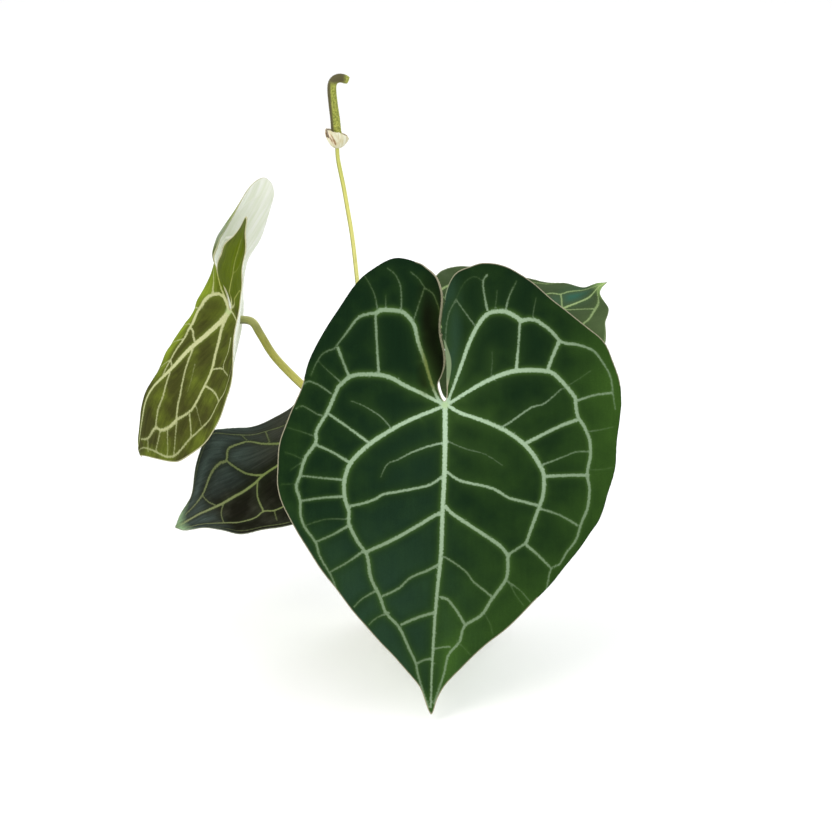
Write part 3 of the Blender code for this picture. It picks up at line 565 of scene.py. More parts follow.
def velvet(name, deep, bright, blush_and_shade, sheen_and_shade, glow, vein, vein_far, vein_blush_and_shade, rim, streak_and_sheen):
    """Upper side of the leaf: matt and deep, of tiny cells that scatter light like velvet. Its two greens mix
    partly as painted light and shade, a painted grey sheen and shade lies mostly in the open cells, and the
    blush is painted shade on some leaves. Veins are paler, with a soft brighter green beside them, and the
    margin is a thin pale line."""
    made, tree, shader = finish(name, Roughness=0.7, Specular_IOR_Level=0.025)
    at = field(tree, "flat_mm", "Vector")
    vein_edge = field(tree, "vein_edge")
    blush_and_shade_share = field(tree, "blush_and_shade")
    sheen_and_shade_share = field(tree, "sheen_and_shade")
    from_notch = measure(tree, "LENGTH", at)
    # Broad patches 20 mm across, lengthwise streaks 2 mm apart that are in part a painted streaky sheen, and
    # bloom grains drawn at 0.7 mm.
    patch = noise(tree, at, 0.05, 3.0)
    lines = noise(tree, stretched(tree, at, (0.5, 0.04, 1.0), 0.35), 1.0, 4.0, 0.6)
    grain = noise(tree, at, 1.4, 3.0, 0.7)
    feather = noise(tree, at, 0.8, 2.0, 0.7)
    shift = sums(tree, "SUBTRACT", patch, 0.5)
    # The mix of the two greens follows the tone field, which is in part painted light and shade.
    green = sums(tree, "MULTIPLY_ADD", shift, 0.35 + 3 * streak_and_sheen, field(tree, "tone_and_light"), use_clamp=True)
    base = blend(tree, green, deep, bright)
    # Painted sheen and shade, mostly in the open cells: a blue grey sheen on most leaves, a grey blue shade
    # on the young one.
    open_cell = scaled(tree, vein_edge, 0.5, 6.0, 0.4, 1.0)
    base = blend(tree, sums(tree, "MULTIPLY", sheen_and_shade_share, open_cell), base, sheen_and_shade)
    # The blush is painted shade by the big leaf's notch and on the young leaf's lobes, and a paler green at
    # the tips of the other two.
    base = blend(tree, blush_and_shade_share, base, blush_and_shade)
    # The streaks darken and lighten the colour, in part a painted streaky sheen.
    streaky_sheen = scaled(tree, lines, 0.3, 0.7, 1 - streak_and_sheen, 1 + streak_and_sheen)
    speck = scaled(tree, grain, 0.3, 0.7, 0.80, 1.20)
    base = dimmed(tree, base, sums(tree, "MULTIPLY", streaky_sheen, speck))
    lit = blend(tree, field(tree, "glow"), base, glow)
    # A vein's edge is ragged by half a millimetre, and veins turn from mint at the notch to grey far out.
    torn = sums(tree, "ADD", vein_edge, sums(tree, "MULTIPLY_ADD", feather, 2.0, -1.0))
    core = scaled(tree, torn, 0.50, -0.40, 0.0, 1.0, "SMOOTHSTEP")
    core = sums(tree, "MULTIPLY", core, field(tree, "vein_pale"))
    cream = blend(tree, scaled(tree, from_notch, 15.0, 120.0), vein, vein_far)
    cream = blend(tree, blush_and_shade_share, cream, vein_blush_and_shade)
    marked = blend(tree, core, lit, dimmed(tree, cream, speck))
    # Fresh green over the joint, and a rolled grey lip, its underside in painted shade, where an edge with
    # painted sheen and shade lies by the notch.
    from_joint = measure(tree, "DISTANCE", at, (0, -2, 0))
    joint = scaled(tree, from_joint, 3.4, 1.0, 0.0, 0.5, "SMOOTHSTEP")
    marked = blend(tree, joint, marked, "#a8c484")
    lip = scaled(tree, field(tree, "margin"), 0.80, 0.25, 0.0, 0.85)
    rolled_lip_in_shade = sums(tree, "MULTIPLY", sheen_and_shade_share, scaled(tree, from_notch, 95.0, 85.0))
    edging = blend(tree, rolled_lip_in_shade, rim, "#7c8f6c")
    dress(tree, shader, blend(tree, lip, marked, edging), grain, 0.35, 0.0002)
    return made


def underside(name, base, shade, vein, blush_and_shade, shaded, inward):
    """Lower side of the leaf: smooth, pale and a little waxy, with the veins standing out paler still. It is
    greener inward, takes some of the blush and painted shade where the upper side has it, and is given
    painted shade where that has its painted sheen and shade."""
    made, tree, shader = finish(name, Roughness=0.5, Specular_IOR_Level=0.3)
    at = field(tree, "flat_mm", "Vector")
    # Faint streaks 3 mm apart run with the leaf, over a net of cells drawn at 1 mm.
    lines = noise(tree, stretched(tree, at, (0.33, 0.05, 1.0)), 1.0, 4.0)
    net = add(tree, "ShaderNodeTexVoronoi", {"Vector": at, "Scale": 0.9}, feature="DISTANCE_TO_EDGE")
    colour = blend(tree, scaled(tree, lines, 0.35, 0.65), base, shade)
    # Inward is toward the joint and well inside the margin.
    deep = scaled(tree, field(tree, "margin"), 10.0, 34.0, 0.0, 0.8)
    close = scaled(tree, measure(tree, "LENGTH", at), 30.0, 8.0)
    colour = blend(tree, sums(tree, "MAXIMUM", deep, close), colour, inward)
    # The underside takes some of the upper side's blush and painted shade, and a shaded colour, painted
    # shade, under its sheen and shade.
    colour = blend(tree, sums(tree, "MULTIPLY", field(tree, "blush_and_shade"), 0.6), colour, blush_and_shade)
    colour = blend(tree, field(tree, "sheen_and_shade"), colour, shaded)
    core = scaled(tree, field(tree, "vein_edge"), 0.6, -0.3, 0.0, 0.9, "SMOOTHSTEP")
    core = sums(tree, "MULTIPLY", core, field(tree, "vein_pale"))
    dress(tree, shader, blend(tree, core, colour, vein), net.outputs["Distance"], 0.15, 0.0002)
    return made


# Veins: widths in millimetres at the start, the middle and the end of each, and the points it runs through.

FRONT_VEINS = [
    # Middle rib.
    ((2.9, 2.2, 0.8), [(0, 1.5), (0, -24.5), (-0.5, -48), (-1.5, -68.5), (-2.5, -96), (-4, -112),
     (-6, -132.5), (-7.5, -156), (-8.5, -176), (-9, -196.5)]),
    # Thick side veins, which bend down and run on to the tip.
    ((1.9, 2.5, 1.7), [(0, -2), (-6.5, -5), (-22.3, -11.5), (-34.1, -17.7), (-48.1, -26.9), (-60, -38.5),
     (-64.5, -50.5), (-64, -62), (-61.5, -70.5), (-61.5, -78), (-56.5, -88.5), (-51, -96)]),
    ((1.9, 1.5, 1), [(-51, -96), (-49.2, -101), (-47.5, -112.5), (-41.7, -124.5), (-37.8, -135),
     (-29.3, -144.5), (-23.8, -156.5), (-19, -167), (-17, -176.5), (-10.5, -196.5)]),
    ((1.9, 2.5, 1.6), [(1.5, -2), (3.6, -3.5), (10.5, -7.4), (23.3, -11.7), (34.3, -16.3), (42.5, -20.9),
     (50.8, -27.3), (56.3, -33.7), (60.8, -41), (63.1, -46.5), (62.8, -59), (59, -70.5), (55.5, -80),
     (52, -90)]),
    ((1.4, 1.2, 1.3), [(52, -90), (47, -93.3), (40, -97.8)]),
    ((1.9, 1.5, 1), [(40, -97.8), (40, -108), (38, -115), (30, -126), (23, -136.5), (12.5, -143.5),
     (9, -154), (2, -162.5), (-1, -176), (-7, -194)]),
    # Second pair, arching into the outer net.
    ((1.7, 2.4, 2.1), [(0, -2), (-6, 0.8), (-16.7, 6.3), (-26, 10.6), (-33.2, 14.8), (-40.5, 17),
     (-49.7, 17.6), (-60, 16.5), (-68.5, 9.5)]),
    ((2, 1.7, 0.8), [(-68.5, 9.5), (-75.5, -6.5), (-82.5, -18.5), (-83, -26), (-90, -36.5), (-93.5, -48),
     (-95.5, -54.5), (-93, -64), (-93, -72.5), (-90.5, -80), (-83, -90.5), (-80.5, -98.5), (-73.5, -110.5),
     (-70, -120.5)]),
    ((1.7, 2.6, 2.2), [(0.5, -2), (4.2, 0), (21.6, 10.7), (35.7, 17.2), (47.5, 20), (65.5, 19.6), (73, 15),
     (83.5, 3)]),
    ((2, 1.6, 0.8), [(83.5, 3), (85, -8.5), (89.5, -16), (93, -24.5), (93.5, -34.5), (91.5, -46),
     (93, -56.5), (91.5, -68.5), (87.5, -78), (84, -88.5), (78.5, -96), (73.5, -104.5), (68, -107),
     (64.5, -120.5)]),
    # Third pair, up round the lobes.
    ((1.3, 2, 2.6), [(-0.5, -2), (-6.5, 5.5), (-12, 23), (-16.8, 37), (-19.9, 49.5), (-25.9, 56.9),
     (-30.5, 58.4), (-36, 58.9), (-41.4, 58.8), (-44.2, 57)]),
    ((1.9, 0.8, 0.35), [(-44.2, 57), (-55, 54.5), (-63.3, 44.1), (-69.3, 36.6), (-71, 34.3), (-79, 30.2),
     (-86, 17)]),
    ((1.3, 2.1, 2.7), [(1, -2), (4.5, 7.5), (10, 22.5), (14.8, 36), (21, 49), (28.5, 57), (39.5, 57.6),
     (49, 52)]),
    ((2.3, 1.3, 0.6), [(49, 52), (57.5, 52.7), (68, 45.5), (75, 38.5), (86, 36.5), (96.3, 32.4), (103, 24),
     (106.6, 16.3), (108.1, 6.3), (110, -4.5)]),
    # Rungs between the arches.
    ((1.3, 1.1, 1.4), [(-44.6, 56.8), (-43.7, 38), (-42.3, 17)]),
    ((1.6, 1.1, 1.5), [(-68.5, 34.5), (-66, 27.5), (-61.5, 16.5)]),
    ((1.3, 1.2, 1.6), [(-75.5, -7), (-62.5, -16), (-49.5, -25.5)]),
    ((1.4, 1.2, 1.6), [(-83, -27.5), (-72.5, -32), (-61.5, -38.5)]),
    ((0.98, 0.9, 1.2), [(-93.5, -47.2), (-80, -48.7), (-65.5, -49.8)]),
    ((1.1, 1.2, 1.4), [(-93, -63.7), (-78.5, -61.5), (-64.5, -60.5)]),
    ((0.33, 0.33, 0.45), [(-90, -79.5), (-77, -75.4), (-64, -75)]),
    ((1, 1.05, 1.4), [(-82, -89.5), (-72.8, -85.4), (-62.3, -79.5)]),
    ((0.8, 0.95, 1.4), [(-73.5, -109), (-62.3, -102.5), (-52.3, -95.5)]),
    ((0.66, 0.74, 1.1), [(-58, -131), (-53, -126), (-44.4, -120.8)]),
    ((0.6, 0.6, 1.2), [(-48.5, -142.5), (-43.5, -138), (-36, -135)]),
    ((1.4, 1.1, 1.9), [(48, 52), (46.9, 36.5), (45.4, 19.8)]),
    ((2.2, 1.8, 2), [(73, 38.2), (69.4, 30.2), (65.4, 19.8)]),
    ((1.3, 1.1, 1.3), [(107.5, 5.9), (96.5, 4.4), (85, 0.9)]),
    ((2, 1.7, 1.9), [(84.5, -11.5), (71.5, -16.5), (50.5, -27)]),
    ((0.75, 0.6, 1), [(93.5, -32), (84.5, -32), (77.5, -34.5), (60.5, -41)]),
    ((1.9, 1.6, 1.8), [(92, -47.1), (78, -47.1), (63.2, -47.7)]),
    ((1.2, 0.9, 1.1), [(84.6, -78.9), (73.1, -72.4), (61.2, -68.4)]),
    ((1.1, 1.3, 1.6), [(67, -105.5), (60, -98.5), (52, -91.5)]),
    ((0.5, 0.45, 0.9), [(54.5, -128), (48, -120.5), (39.5, -114.5)]),
    # Veins between the middle rib and the side veins.
    ((1.2, 0.75, 0.35), [(-2.5, -26.4), (-13.5, -29.4), (-22.5, -32.9), (-30, -36.9), (-37, -39.9),
     (-41, -47.9)]),
    ((1.4, 1.3, 1.4), [(-1.5, -47.5), (-6, -51), (-12, -53.8), (-29, -57.2), (-39.5, -59), (-43.5, -61.5),
     (-51, -64.5), (-60, -66.5)]),
    ((2, 1.9, 1.8), [(-2, -71), (-7, -73), (-20.5, -81), (-34.5, -88.7), (-50.5, -96)]),
    ((1.5, 1.1, 1.2), [(-4.5, -104.5), (-11, -108), (-22, -112.5), (-30, -119.5), (-39.5, -124)]),
    ((1.7, 1.5, 1.4), [(-6.5, -135.3), (-16.5, -137.8), (-28, -142.7)]),
    ((1.2, 1, 1), [(-9, -165), (-13.5, -165.6), (-17.5, -167.6)]),
    ((0.6, 0.55, 0.35), [(-34.5, -16.8), (-40.5, -10), (-48.5, -4.5), (-54.5, -1.5), (-60, 0.5)]),
    ((0.5, 0.35, 0.3), [(2.5, -25.5), (13, -30), (25.5, -33.5), (36.5, -40.5)]),
    ((1.5, 1.4, 1.5), [(1.5, -45), (6, -48.5), (11.5, -51), (29.5, -55), (40.5, -61.2), (50, -63.8),
     (59.5, -66.2)]),
    ((2, 1.9, 2), [(0.5, -67), (4.5, -71.5), (22, -83), (34.5, -91.5), (40.5, -98.5)]),
    ((0.9, 0.82, 1.1), [(-1.9, -99), (2.6, -101), (13.1, -108.5), (18.1, -115), (23.1, -119),
     (29.1, -124)]),
    ((1.5, 1.3, 1.4), [(-2.5, -125.5), (1.5, -126.5), (6.5, -132.5), (12.6, -142.4)]),
    ((0.9, 0.9, 1), [(-6, -158.5), (-2, -157.5), (3, -157)]),
    ((0.9, 0.9, 0.6), [(35, -16.5), (41.5, -13), (53.5, -4.5), (57, -3), (63.9, -0.8), (74.2, 8)]),
    ((0.3, 0.2, 0.2), [(29, 14), (30, 23.5), (30, 32)]),
    # Short veins from the arches to the margin.
    ((0.75, 0.6, 0.4), [(-28, 59), (-28, 68.5), (-29, 76), (-32.5, 82.5), (-37, 86)]),
    ((0.75, 0.4, 0.3), [(-43, 58), (-45, 68), (-48.5, 76), (-52, 81.5)]),
    ((0.6, 0.5, 0.5), [(-20.5, 51), (-16.3, 64), (-12.9, 73.7)]),
    ((0.4, 0.5, 0.4), [(-22, 83.5), (-16.9, 79.4), (-12.9, 73.7), (-7.7, 70.2), (-5.4, 63.9), (-4.2, 58),
     (-3.6, 51)]),
    ((0.6, 0.35, 0.25), [(-38, 61), (-38, 68)]),
    ((0.7, 0.55, 0.5), [(-75, -7), (-80.1, -8.6), (-91.4, -2.6), (-95.5, -4.4)]),
    ((0.5, 0.25, 0.15), [(-83.3, -22.2), (-93, -18.9), (-101, -16.5)]),
    ((0.26, 0.22, 0.14), [(-91, -37), (-98, -34), (-103, -32.5)]),
    ((0.2, 0.16, 0.12), [(-94, -52.5), (-101, -53), (-105, -53)]),
    ((0.33, 0.26, 0.18), [(-90, -37), (-95.5, -41), (-99, -43.5)]),
    ((0.75, 0.35, 0.2), [(-67.2, 13), (-76.2, 21.1), (-80.6, 25.6)]),
    ((0.75, 0.8, 0.75), [(-73, 5.3), (-80, 10.2), (-87.7, 13.4), (-90.9, 11.4)]),
    ((0.39, 0.39, 0.52), [(25, 79.5), (24.5, 76), (24.5, 71.5)]),
    ((0.9, 0.82, 1.1), [(27, 81.5), (24.5, 77.5), (25, 70), (27, 59.5)]),
    ((0.22, 0.16, 0.12), [(24.5, 77.5), (18.5, 80.5), (12, 76), (7, 66)]),
    ((0.52, 0.52, 0.59), [(7, 66), (11, 60), (18.5, 49.5)]),
    ((0.45, 0.39, 0.33), [(7, 66), (2.5, 57), (0.5, 46), (0.5, 36.5)]),
    ((0.9, 0.66, 0.33), [(39, 59.5), (41.5, 68.5), (46, 77.5)]),
    ((0.33, 0.26, 0.25), [(31.9, 59.5), (32.9, 66), (33.4, 71.5)]),
    ((0.45, 0.33, 0.25), [(56, 52.5), (57, 59.5), (58.5, 66.5)]),
    ((0.33, 0.26, 0.25), [(75.5, 8.3), (83.8, 13.5), (93.8, 20)]),
    ((0.59, 0.39, 0.26), [(92, -19), (100, -18), (109, -16)]),
    ((0.26, 0.26, 0.25), [(93, -43.5), (100.5, -43.5), (108, -42)]),
    ((0.45, 0.33, 0.25), [(40.5, -114.5), (45.5, -124), (50.5, -130.5)]),
    ((0.26, 0.26, 0.25), [(25, -135), (29, -142.5), (30.5, -149)]),
    ((0.26, 0.25, 0.25), [(7.5, -153), (12, -157.5), (16, -162)]),
]
LEFT_VEINS = [
    # Middle rib.
    ((3.4, 2.2, 0.89), [(0, 0), (0, -24), (0, -57), (-1, -82), (-1, -94), (0, -115), (0, -133)]),
    # Near half, seen from above: side vein, its rungs and the outer arch.
    ((1.8, 1.9, 1), [(0, -2), (3.5, -13), (14.5, -25.5), (26.5, -38.5), (30.5, -48.5), (32.5, -62.5),
     (31.5, -68.5), (26, -79)]),
    ((1.6, 1.2, 0.74), [(26, -79), (23.5, -86.5), (19, -93.5), (15, -96), (10.5, -108.5), (4, -114)]),
    ((0.96, 0.89, 0.96), [(0.5, -34.5), (8.5, -49.5), (17.5, -62.5), (22, -71), (26, -79)]),
    ((0.96, 0.81, 0.89), [(0, -58), (10, -74), (12.5, -86.5), (15, -96)]),
    ((0.89, 0.74, 0.59), [(20, -15), (30, -21), (38, -31.5), (55, -31)]),
    ((0.74, 0.96, 0.89), [(64, -12), (62, -30), (58.5, -41.5), (54.5, -48.5), (52, -60.5), (47, -69.5),
     (41, -79.5)]),
    ((0.96, 0.96, 0.44), [(41, -79.5), (35, -94), (28.5, -103), (20, -109), (8, -118), (2, -126)]),
    ((0.96, 0.89, 0.74), [(26.5, -38.5), (33, -34), (39, -32)]),
    ((1.1, 0.96, 0.96), [(31, -49), (42, -47), (54, -48)]),
    ((0.89, 0.74, 0.81), [(32.5, -69.5), (37, -74), (41, -79)]),
    ((0.42, 0.35, 0.3), [(34, -62.5), (45, -68.5)]),
    ((0.7, 0.56, 0.56), [(27, -80), (30, -88), (32.5, -96.5)]),
    ((0.63, 0.49, 0.49), [(23, -88), (28.5, -101.5)]),
    ((0.7, 0.56, 0.56), [(19, -94), (19.5, -108.5)]),
    ((0.63, 0.56, 0.49), [(11, -110), (13.5, -116)]),
    ((0.3, 0.22, 0.15), [(12, -44), (19, -54), (22, -60)]),
    # Far half: its side vein keeps close to the fold.
    ((1.8, 2.2, 1.5), [(-1, -1), (-5, 6), (-10, 5.5), (-14, 1.5), (-16, -7), (-16.5, -12), (-13.5, -21),
     (-12, -27)]),
    ((1.3, 1.1, 0.67), [(-12, -27), (-9, -35), (-8, -43), (-6, -53), (-4, -60), (-1, -66)]),
    ((1.1, 0.96, 1.1), [(-12, -25), (-8, -27), (-5, -30), (0, -33)]),
    ((0.89, 0.89, 0.96), [(-6, -53), (-3, -54.5), (0, -57.5)]),
    ((0.7, 0.56, 0.49), [(-16, -8), (-24, -7), (-36, -6), (-52, -2)]),
    ((0.63, 0.56, 0.49), [(-13, -22), (-24, -26), (-40, -30), (-56, -34)]),
    ((0.63, 0.56, 0.49), [(-9, -35), (-22, -46), (-36, -58), (-46, -70)]),
    ((0.63, 0.56, 0.49), [(-6, -53), (-16, -70), (-26, -86), (-33, -98)]),
    ((0.81, 0.67, 0.59), [(-12, 5), (-14, 16), (-19, 30), (-26, 46)]),
    ((1.2, 0.96, 0.52), [(-26, 46), (-42, 40), (-58, 22), (-62, 0), (-60, -30), (-50, -66), (-34, -96),
     (-16, -116), (-2, -128)]),
    # Both lobes.
    ((1.2, 0.89, 0.59), [(0, 1), (10, 16), (20, 27), (25, 39), (25, 52), (27.5, 65)]),
    ((0.89, 0.74, 0.52), [(1, 1), (21.5, 17), (42, 25.5), (58, 22), (64, 6), (64, -12)]),
    ((0.96, 0.89, 0.74), [(2, -1), (12.5, -3), (34, -2), (50, -8), (62, -24)]),
    ((1.3, 0.96, 0.52), [(-2, 3), (-8, 16), (-11, 34), (-16, 52), (-26, 64), (-38, 66)]),
    ((0.42, 0.35, 0.3), [(25, 39), (36, 44), (44, 50)]),
]
LOW_VEINS = [
    # Middle rib.
    ((2.2, 1.8, 1), [(0, 0), (0, -20), (0, -30), (1, -40), (0, -58), (0.5, -78), (0.5, -107), (0, -121)]),
    # Half that faces up, seen past the big leaf.
    ((1.3, 1.6, 1.4), [(0, -1), (-10, -5), (-22, -15), (-33.5, -28), (-40, -38), (-37.5, -46)]),
    ((1.4, 1.4, 0.81), [(-37.5, -46), (-32.5, -55), (-25, -58), (-24.5, -64), (-21.5, -73), (-17, -80),
     (-11, -89), (-4.5, -108)]),
    ((1.5, 1.2, 1.3), [(0, -29), (-12, -44), (-25, -58)]),
    ((0.67, 0.81, 0.59), [(-38, 6), (-43, -11.5), (-48.5, -26), (-47, -50), (-43.5, -67.5)]),
    ((0.7, 0.63, 0.63), [(-48.5, -26), (-40, -24), (-31, -22)]),
    ((0.7, 0.63, 0.7), [(-48, -44), (-42, -39.5)]),
    ((0.81, 0.74, 0.74), [(-11, -89), (-5, -84), (-0.5, -79)]),
    ((0.49, 0.42, 0.3), [(-43.5, -67.5), (-34, -80), (-20, -98), (-8, -112)]),
    # Half that faces the viewer.
    ((1.3, 1.5, 1.2), [(0, -1), (12, -5), (26, -12), (36, -24), (36.5, -37)]),
    ((1.3, 1.2, 0.67), [(36.5, -37), (35, -43), (29.5, -49), (31, -57), (28, -66.5), (19, -83.5),
     (8.5, -105.5), (1, -116)]),
    ((1.1, 1, 1.1), [(0.5, -35), (12, -43), (28.5, -48.5)]),
    ((0.81, 0.74, 0.74), [(0.5, -72), (8, -78), (18.5, -82)]),
    ((0.63, 0.56, 0.56), [(35, -43), (46, -48.5)]),
    ((0.7, 0.63, 0.35), [(36, -24), (48, -26), (54, -40), (46, -60), (32, -80), (16, -100)]),
    # Both lobes.
    ((1, 1.3, 0.67), [(0, 1), (-7, 16), (-14, 32), (-26, 38), (-38, 30), (-46, 12), (-47, -10)]),
    ((1, 1.3, 0.67), [(0, 1), (7, 16), (14, 32), (26, 38), (38, 30), (46, 12), (50, -8), (48, -26)]),
    ((0.7, 0.56, 0.63), [(-10, -5), (-20, 8), (-32, 20), (-38, 30)]),
    ((0.7, 0.56, 0.63), [(12, -5), (22, 8), (32, 20), (38, 30)]),
]
BACK_VEINS = [
    # Middle rib.
    ((2.2, 1.8, 1.2), [(0, 0), (0, -30), (0, -73), (0.5, -90), (0, -106), (0, -116)]),
    # Upper half.
    ((1.3, 1.5, 1), [(0, -1), (12, -6), (26, -18), (32, -34), (30, -52), (23, -68.5)]),
    ((1.1, 1, 0.74), [(23, -68.5), (21, -75), (16.5, -80.5), (16, -88), (12, -98), (4, -107), (0.5, -112)]),
    ((1, 0.96, 1.1), [(16.5, -80.5), (9, -78), (1, -73.5)]),
    ((0.89, 0.81, 0.89), [(0.5, -34), (12, -44), (30, -52)]),
    ((0.7, 0.63, 0.35), [(32, -34), (42, -36), (44, -54), (34, -76), (22, -94), (10, -108)]),
    # Lower half.
    ((1.3, 1.5, 0.96), [(0, -1), (-12, -6), (-26, -18), (-33, -36), (-30, -54), (-19, -71.5)]),
    ((0.96, 1.2, 0.89), [(-19, -71.5), (-17, -81), (-10.5, -92), (-7, -100), (-4.5, -105.5), (0, -110)]),
    ((0.89, 0.74, 0.89), [(0, -70), (-5, -80), (-10.5, -93)]),
    ((0.89, 0.81, 0.89), [(0, -38), (-14, -46), (-30, -54)]),
    ((0.7, 0.63, 0.35), [(-33, -36), (-46, -40), (-44, -60), (-32, -80), (-16, -100)]),
    # Both lobes.
    ((1, 1.3, 0.67), [(0, 1), (-7, 16), (-13, 32), (-25, 38), (-38, 30), (-46, 12), (-48, -10), (-46, -38)]),
    ((1, 1.3, 0.67), [(0, 1), (7, 16), (13, 32), (25, 38), (38, 30), (46, 12), (48, -12), (42, -36)]),
    ((0.7, 0.56, 0.63), [(-12, -6), (-20, 8), (-32, 20), (-38, 30)]),
    ((0.7, 0.56, 0.63), [(12, -6), (22, 8), (32, 20), (38, 30)]),
]


def front_tint(flat, apart):
    """Painted light and shade: a darker blue-green on the left half and a brighter, fresher green far out on
    the right and low down; the edge of the left lobe by the notch turns to a brown black painted shade, the
    edge of the right one has a painted blue sheen and shade and a rolled grey lip in painted shade, and the
    veins on the upper left are fainter."""
    u, w = flat.T
    low = fall(w, -60, 70)
    tone_and_light = 0.01 + (0.45 - 0.30 * low) * sway(u, 84, 9) + 0.12 * low + 0.22 * low * sway(u, 8, 10)
    tone_and_light += 0.13 * bell((u, 34, 28), (w, -38, 38)) - 0.05 * rise(w, 0, 40)
    tone_and_light += 0.12 * bell((w, 5, 30)) * sway(u, 90, 5) + 0.5 * fall(w, -184, 12)
    tone_and_light += 0.08 * bell((apart, 0, 14)) + 0.6 * bell((u, 3, 9), (w, -165, 28))
    left = u < np.interp(w, *SLIT)
    blush_and_shade = rise(u, -19, 6) * rise(w, 1, 10) * fall(w, 88, 30) * left
    sheen_and_shade = fall(u, 13, 7) * rise(w, 8, 8) * fall(w, 84, 14) * ~left
    sheen_and_shade += 0.75 * fall(w, -60, 60) * sway(-u, 5, 15)
    sheen_and_shade += 0.35 * bell((u, 0, 55), (w, -55, 50)) * sway(-u, 0, 5)
    thin = 0.8 * rise(w, 16, 10) * fall(w, 90, 15)
    lip = (2.6 * np.sin(np.pi * rise(w, 9, 31)) - 0.6 * (w > 40) * (w < 64)) * (u < 10)
    plain = ((w > 15) & (u < -20)) | ((u > 60) & (w < 10))
    edging = np.where(left, thin, lip) * (np.abs(u) < 14) - 0.8 * plain
    return tone_and_light, blush_and_shade, np.minimum(sheen_and_shade, 1.0), edging, 0.25 * rise(w, -8, 20) * fall(u, 6, 30)


def left_tint(flat, apart):
    """Yellow green painted light shining through by the margin and beyond the far arch, dark between the
    veins, moss green on the lobes for their shaded inner side lit through from behind, and a grey blue
    painted shade on the far lobe by the slit."""
    u, w = flat.T
    arch = np.interp(w, (-66, -53, -35, -27, -7, 6, 40), (-2, -6, -9, -12, -16, -9, -6))
    beyond = fall(u, arch, 4)
    tone_and_light = 0.06 + 0.16 * bell((apart, 0, 9)) + 0.85 * beyond * rise(w, -80, 30)
    sheen_and_shade = bell((u, -10, 9), (w, 60, 16))
    blush_and_shade = rise(w, 4, 10) * (1 - 0.6 * bell((apart, 0, 6)) * (u > 0)) * (1 - sheen_and_shade) * (1 - 0.6 * beyond)
    return tone_and_light, blush_and_shade, sheen_and_shade, 0.5 * (w > 10), 0 * u


def low_tint(flat, apart):
    """Near black by the middle rib, with a painted blue grey sheen of reflected sky over the upper half and
    out to the tip.
    """
    u, w = flat.T
    tone_and_light = 0.04 + 0.25 * fall(w, -80, 40) + 0.7 * rise(w, -55, 30) * fall(u, 0, 20)
    upper = 0.95 * fall(u, 0, 24) * np.clip((-w - 12) / 40, 0.1, 1)
    sheen_and_shade = np.maximum(upper, 0.9 * fall(w, -76, 18))
    return tone_and_light, fall(w, -106, 10), sheen_and_shade, 0 * u, 0 * u


def back_tint(flat, apart):
    """Grey green, with a painted blue sheen between the middle rib and the upper arch, and bright green at
    the drip tip.
    """
    u, w = flat.T
    tone_and_light = 0.35 + 0.2 * bell((apart, 0, 8)) + 0.6 * fall(u, 0, 30) * fall(w, -50, 30)
    return tone_and_light, fall(w, -103, 10), 0.95 * bell((u, 9, 9), (w, -88, 17)), 0 * u, 0 * u


leaf_mesh(
    "leaf_front", FRONT_OUTLINE, DRAPES["front"], 1.0, FRONT_VEINS, 1.1, 1.12, 3, front_tint,
    velvet(
        "velvet leaf, blue to fresh green", deep="#0f2412", bright="#3c5c20", blush_and_shade="#0a0e05",
        sheen_and_shade="#243c2c", glow="#46652c", vein="#b0caac", vein_far="#8fa587", vein_blush_and_shade="#77834a",
        rim="#b4ae94", streak_and_sheen=0.06,
    ),
    underside(
        "waxy pale leaf underside", base="#7f9a68", shade="#6d8c58", vein="#b9cba0", blush_and_shade="#748a58",
        shaded="#72895e", inward="#78925f",
    ),
)
leaf_mesh(
    "leaf_left", heart_outline(80, 80, 136), DRAPES["left"], 0.5, LEFT_VEINS, 0.6, 1.02, 5, left_tint,
    velvet(
        "young velvet leaf, olive", deep="#3a3b19", bright="#7f922c", blush_and_shade="#4d5c00", sheen_and_shade="#838f77",
        glow="#6a7830", vein="#c4c896", vein_far="#bcc090", vein_blush_and_shade="#a9ad5e", rim="#c3c09a", streak_and_sheen=0.30,
    ),
    # The underside is near white as painted backlight from the strong lamp behind, and its shaded colour is
    # painted shade.
    underside(
        "leaf underside with painted backlight", base="#fbfdf6", shade="#e6ecd6", vein="#fcfdf4", blush_and_shade="#f4f7ea",
        shaded="#838f77", inward="#a3b080",
    ),
)
leaf_mesh(
    "leaf_low", heart_outline(64, 55, 124), DRAPES["low"], 0.8, LOW_VEINS, 0.8, 1.0, 7, low_tint,
    velvet(
        "old velvet leaf, near black", deep="#191812", bright="#494a40", blush_and_shade="#86a27c", sheen_and_shade="#485450",
        glow="#3d472c", vein="#8f9f5c", vein_far="#8f9470", vein_blush_and_shade="#8fa77a", rim="#8d917c", streak_and_sheen=0.34,
    ),
    underside(
        "shaded leaf underside", base="#6d7d58", shade="#5c6d4a", vein="#a2b38a", blush_and_shade="#6a7a52",
        shaded="#64754f", inward="#657650",
    ),
)
leaf_mesh(
    "leaf_back", heart_outline(62, 55, 118), DRAPES["back"], 0.8, BACK_VEINS, 0.7, 1.0, 11, back_tint,
    velvet(
        "velvet leaf, grey green", deep="#323f2d", bright="#4f613d", blush_and_shade="#8fb068", sheen_and_shade="#2f5c4c",
        glow="#516b39", vein="#a3ba82", vein_far="#9cb37c", vein_blush_and_shade="#b5cc86", rim="#9aa287", streak_and_sheen=0.08,
    ),
    underside(
        "pale leaf underside", base="#74885c", shade="#64794e", vein="#a9ba90", blush_and_shade="#6d8052",
        shaded="#6a7e54", inward="#6c8054",
    ),
)


# Stalks. Four smooth round leaf stalks rise from the crown, each a little swollen at its foot and ending in a
# thicker knee under its blade; the flower stalk is thinner. They are green to olive and slightly shiny.

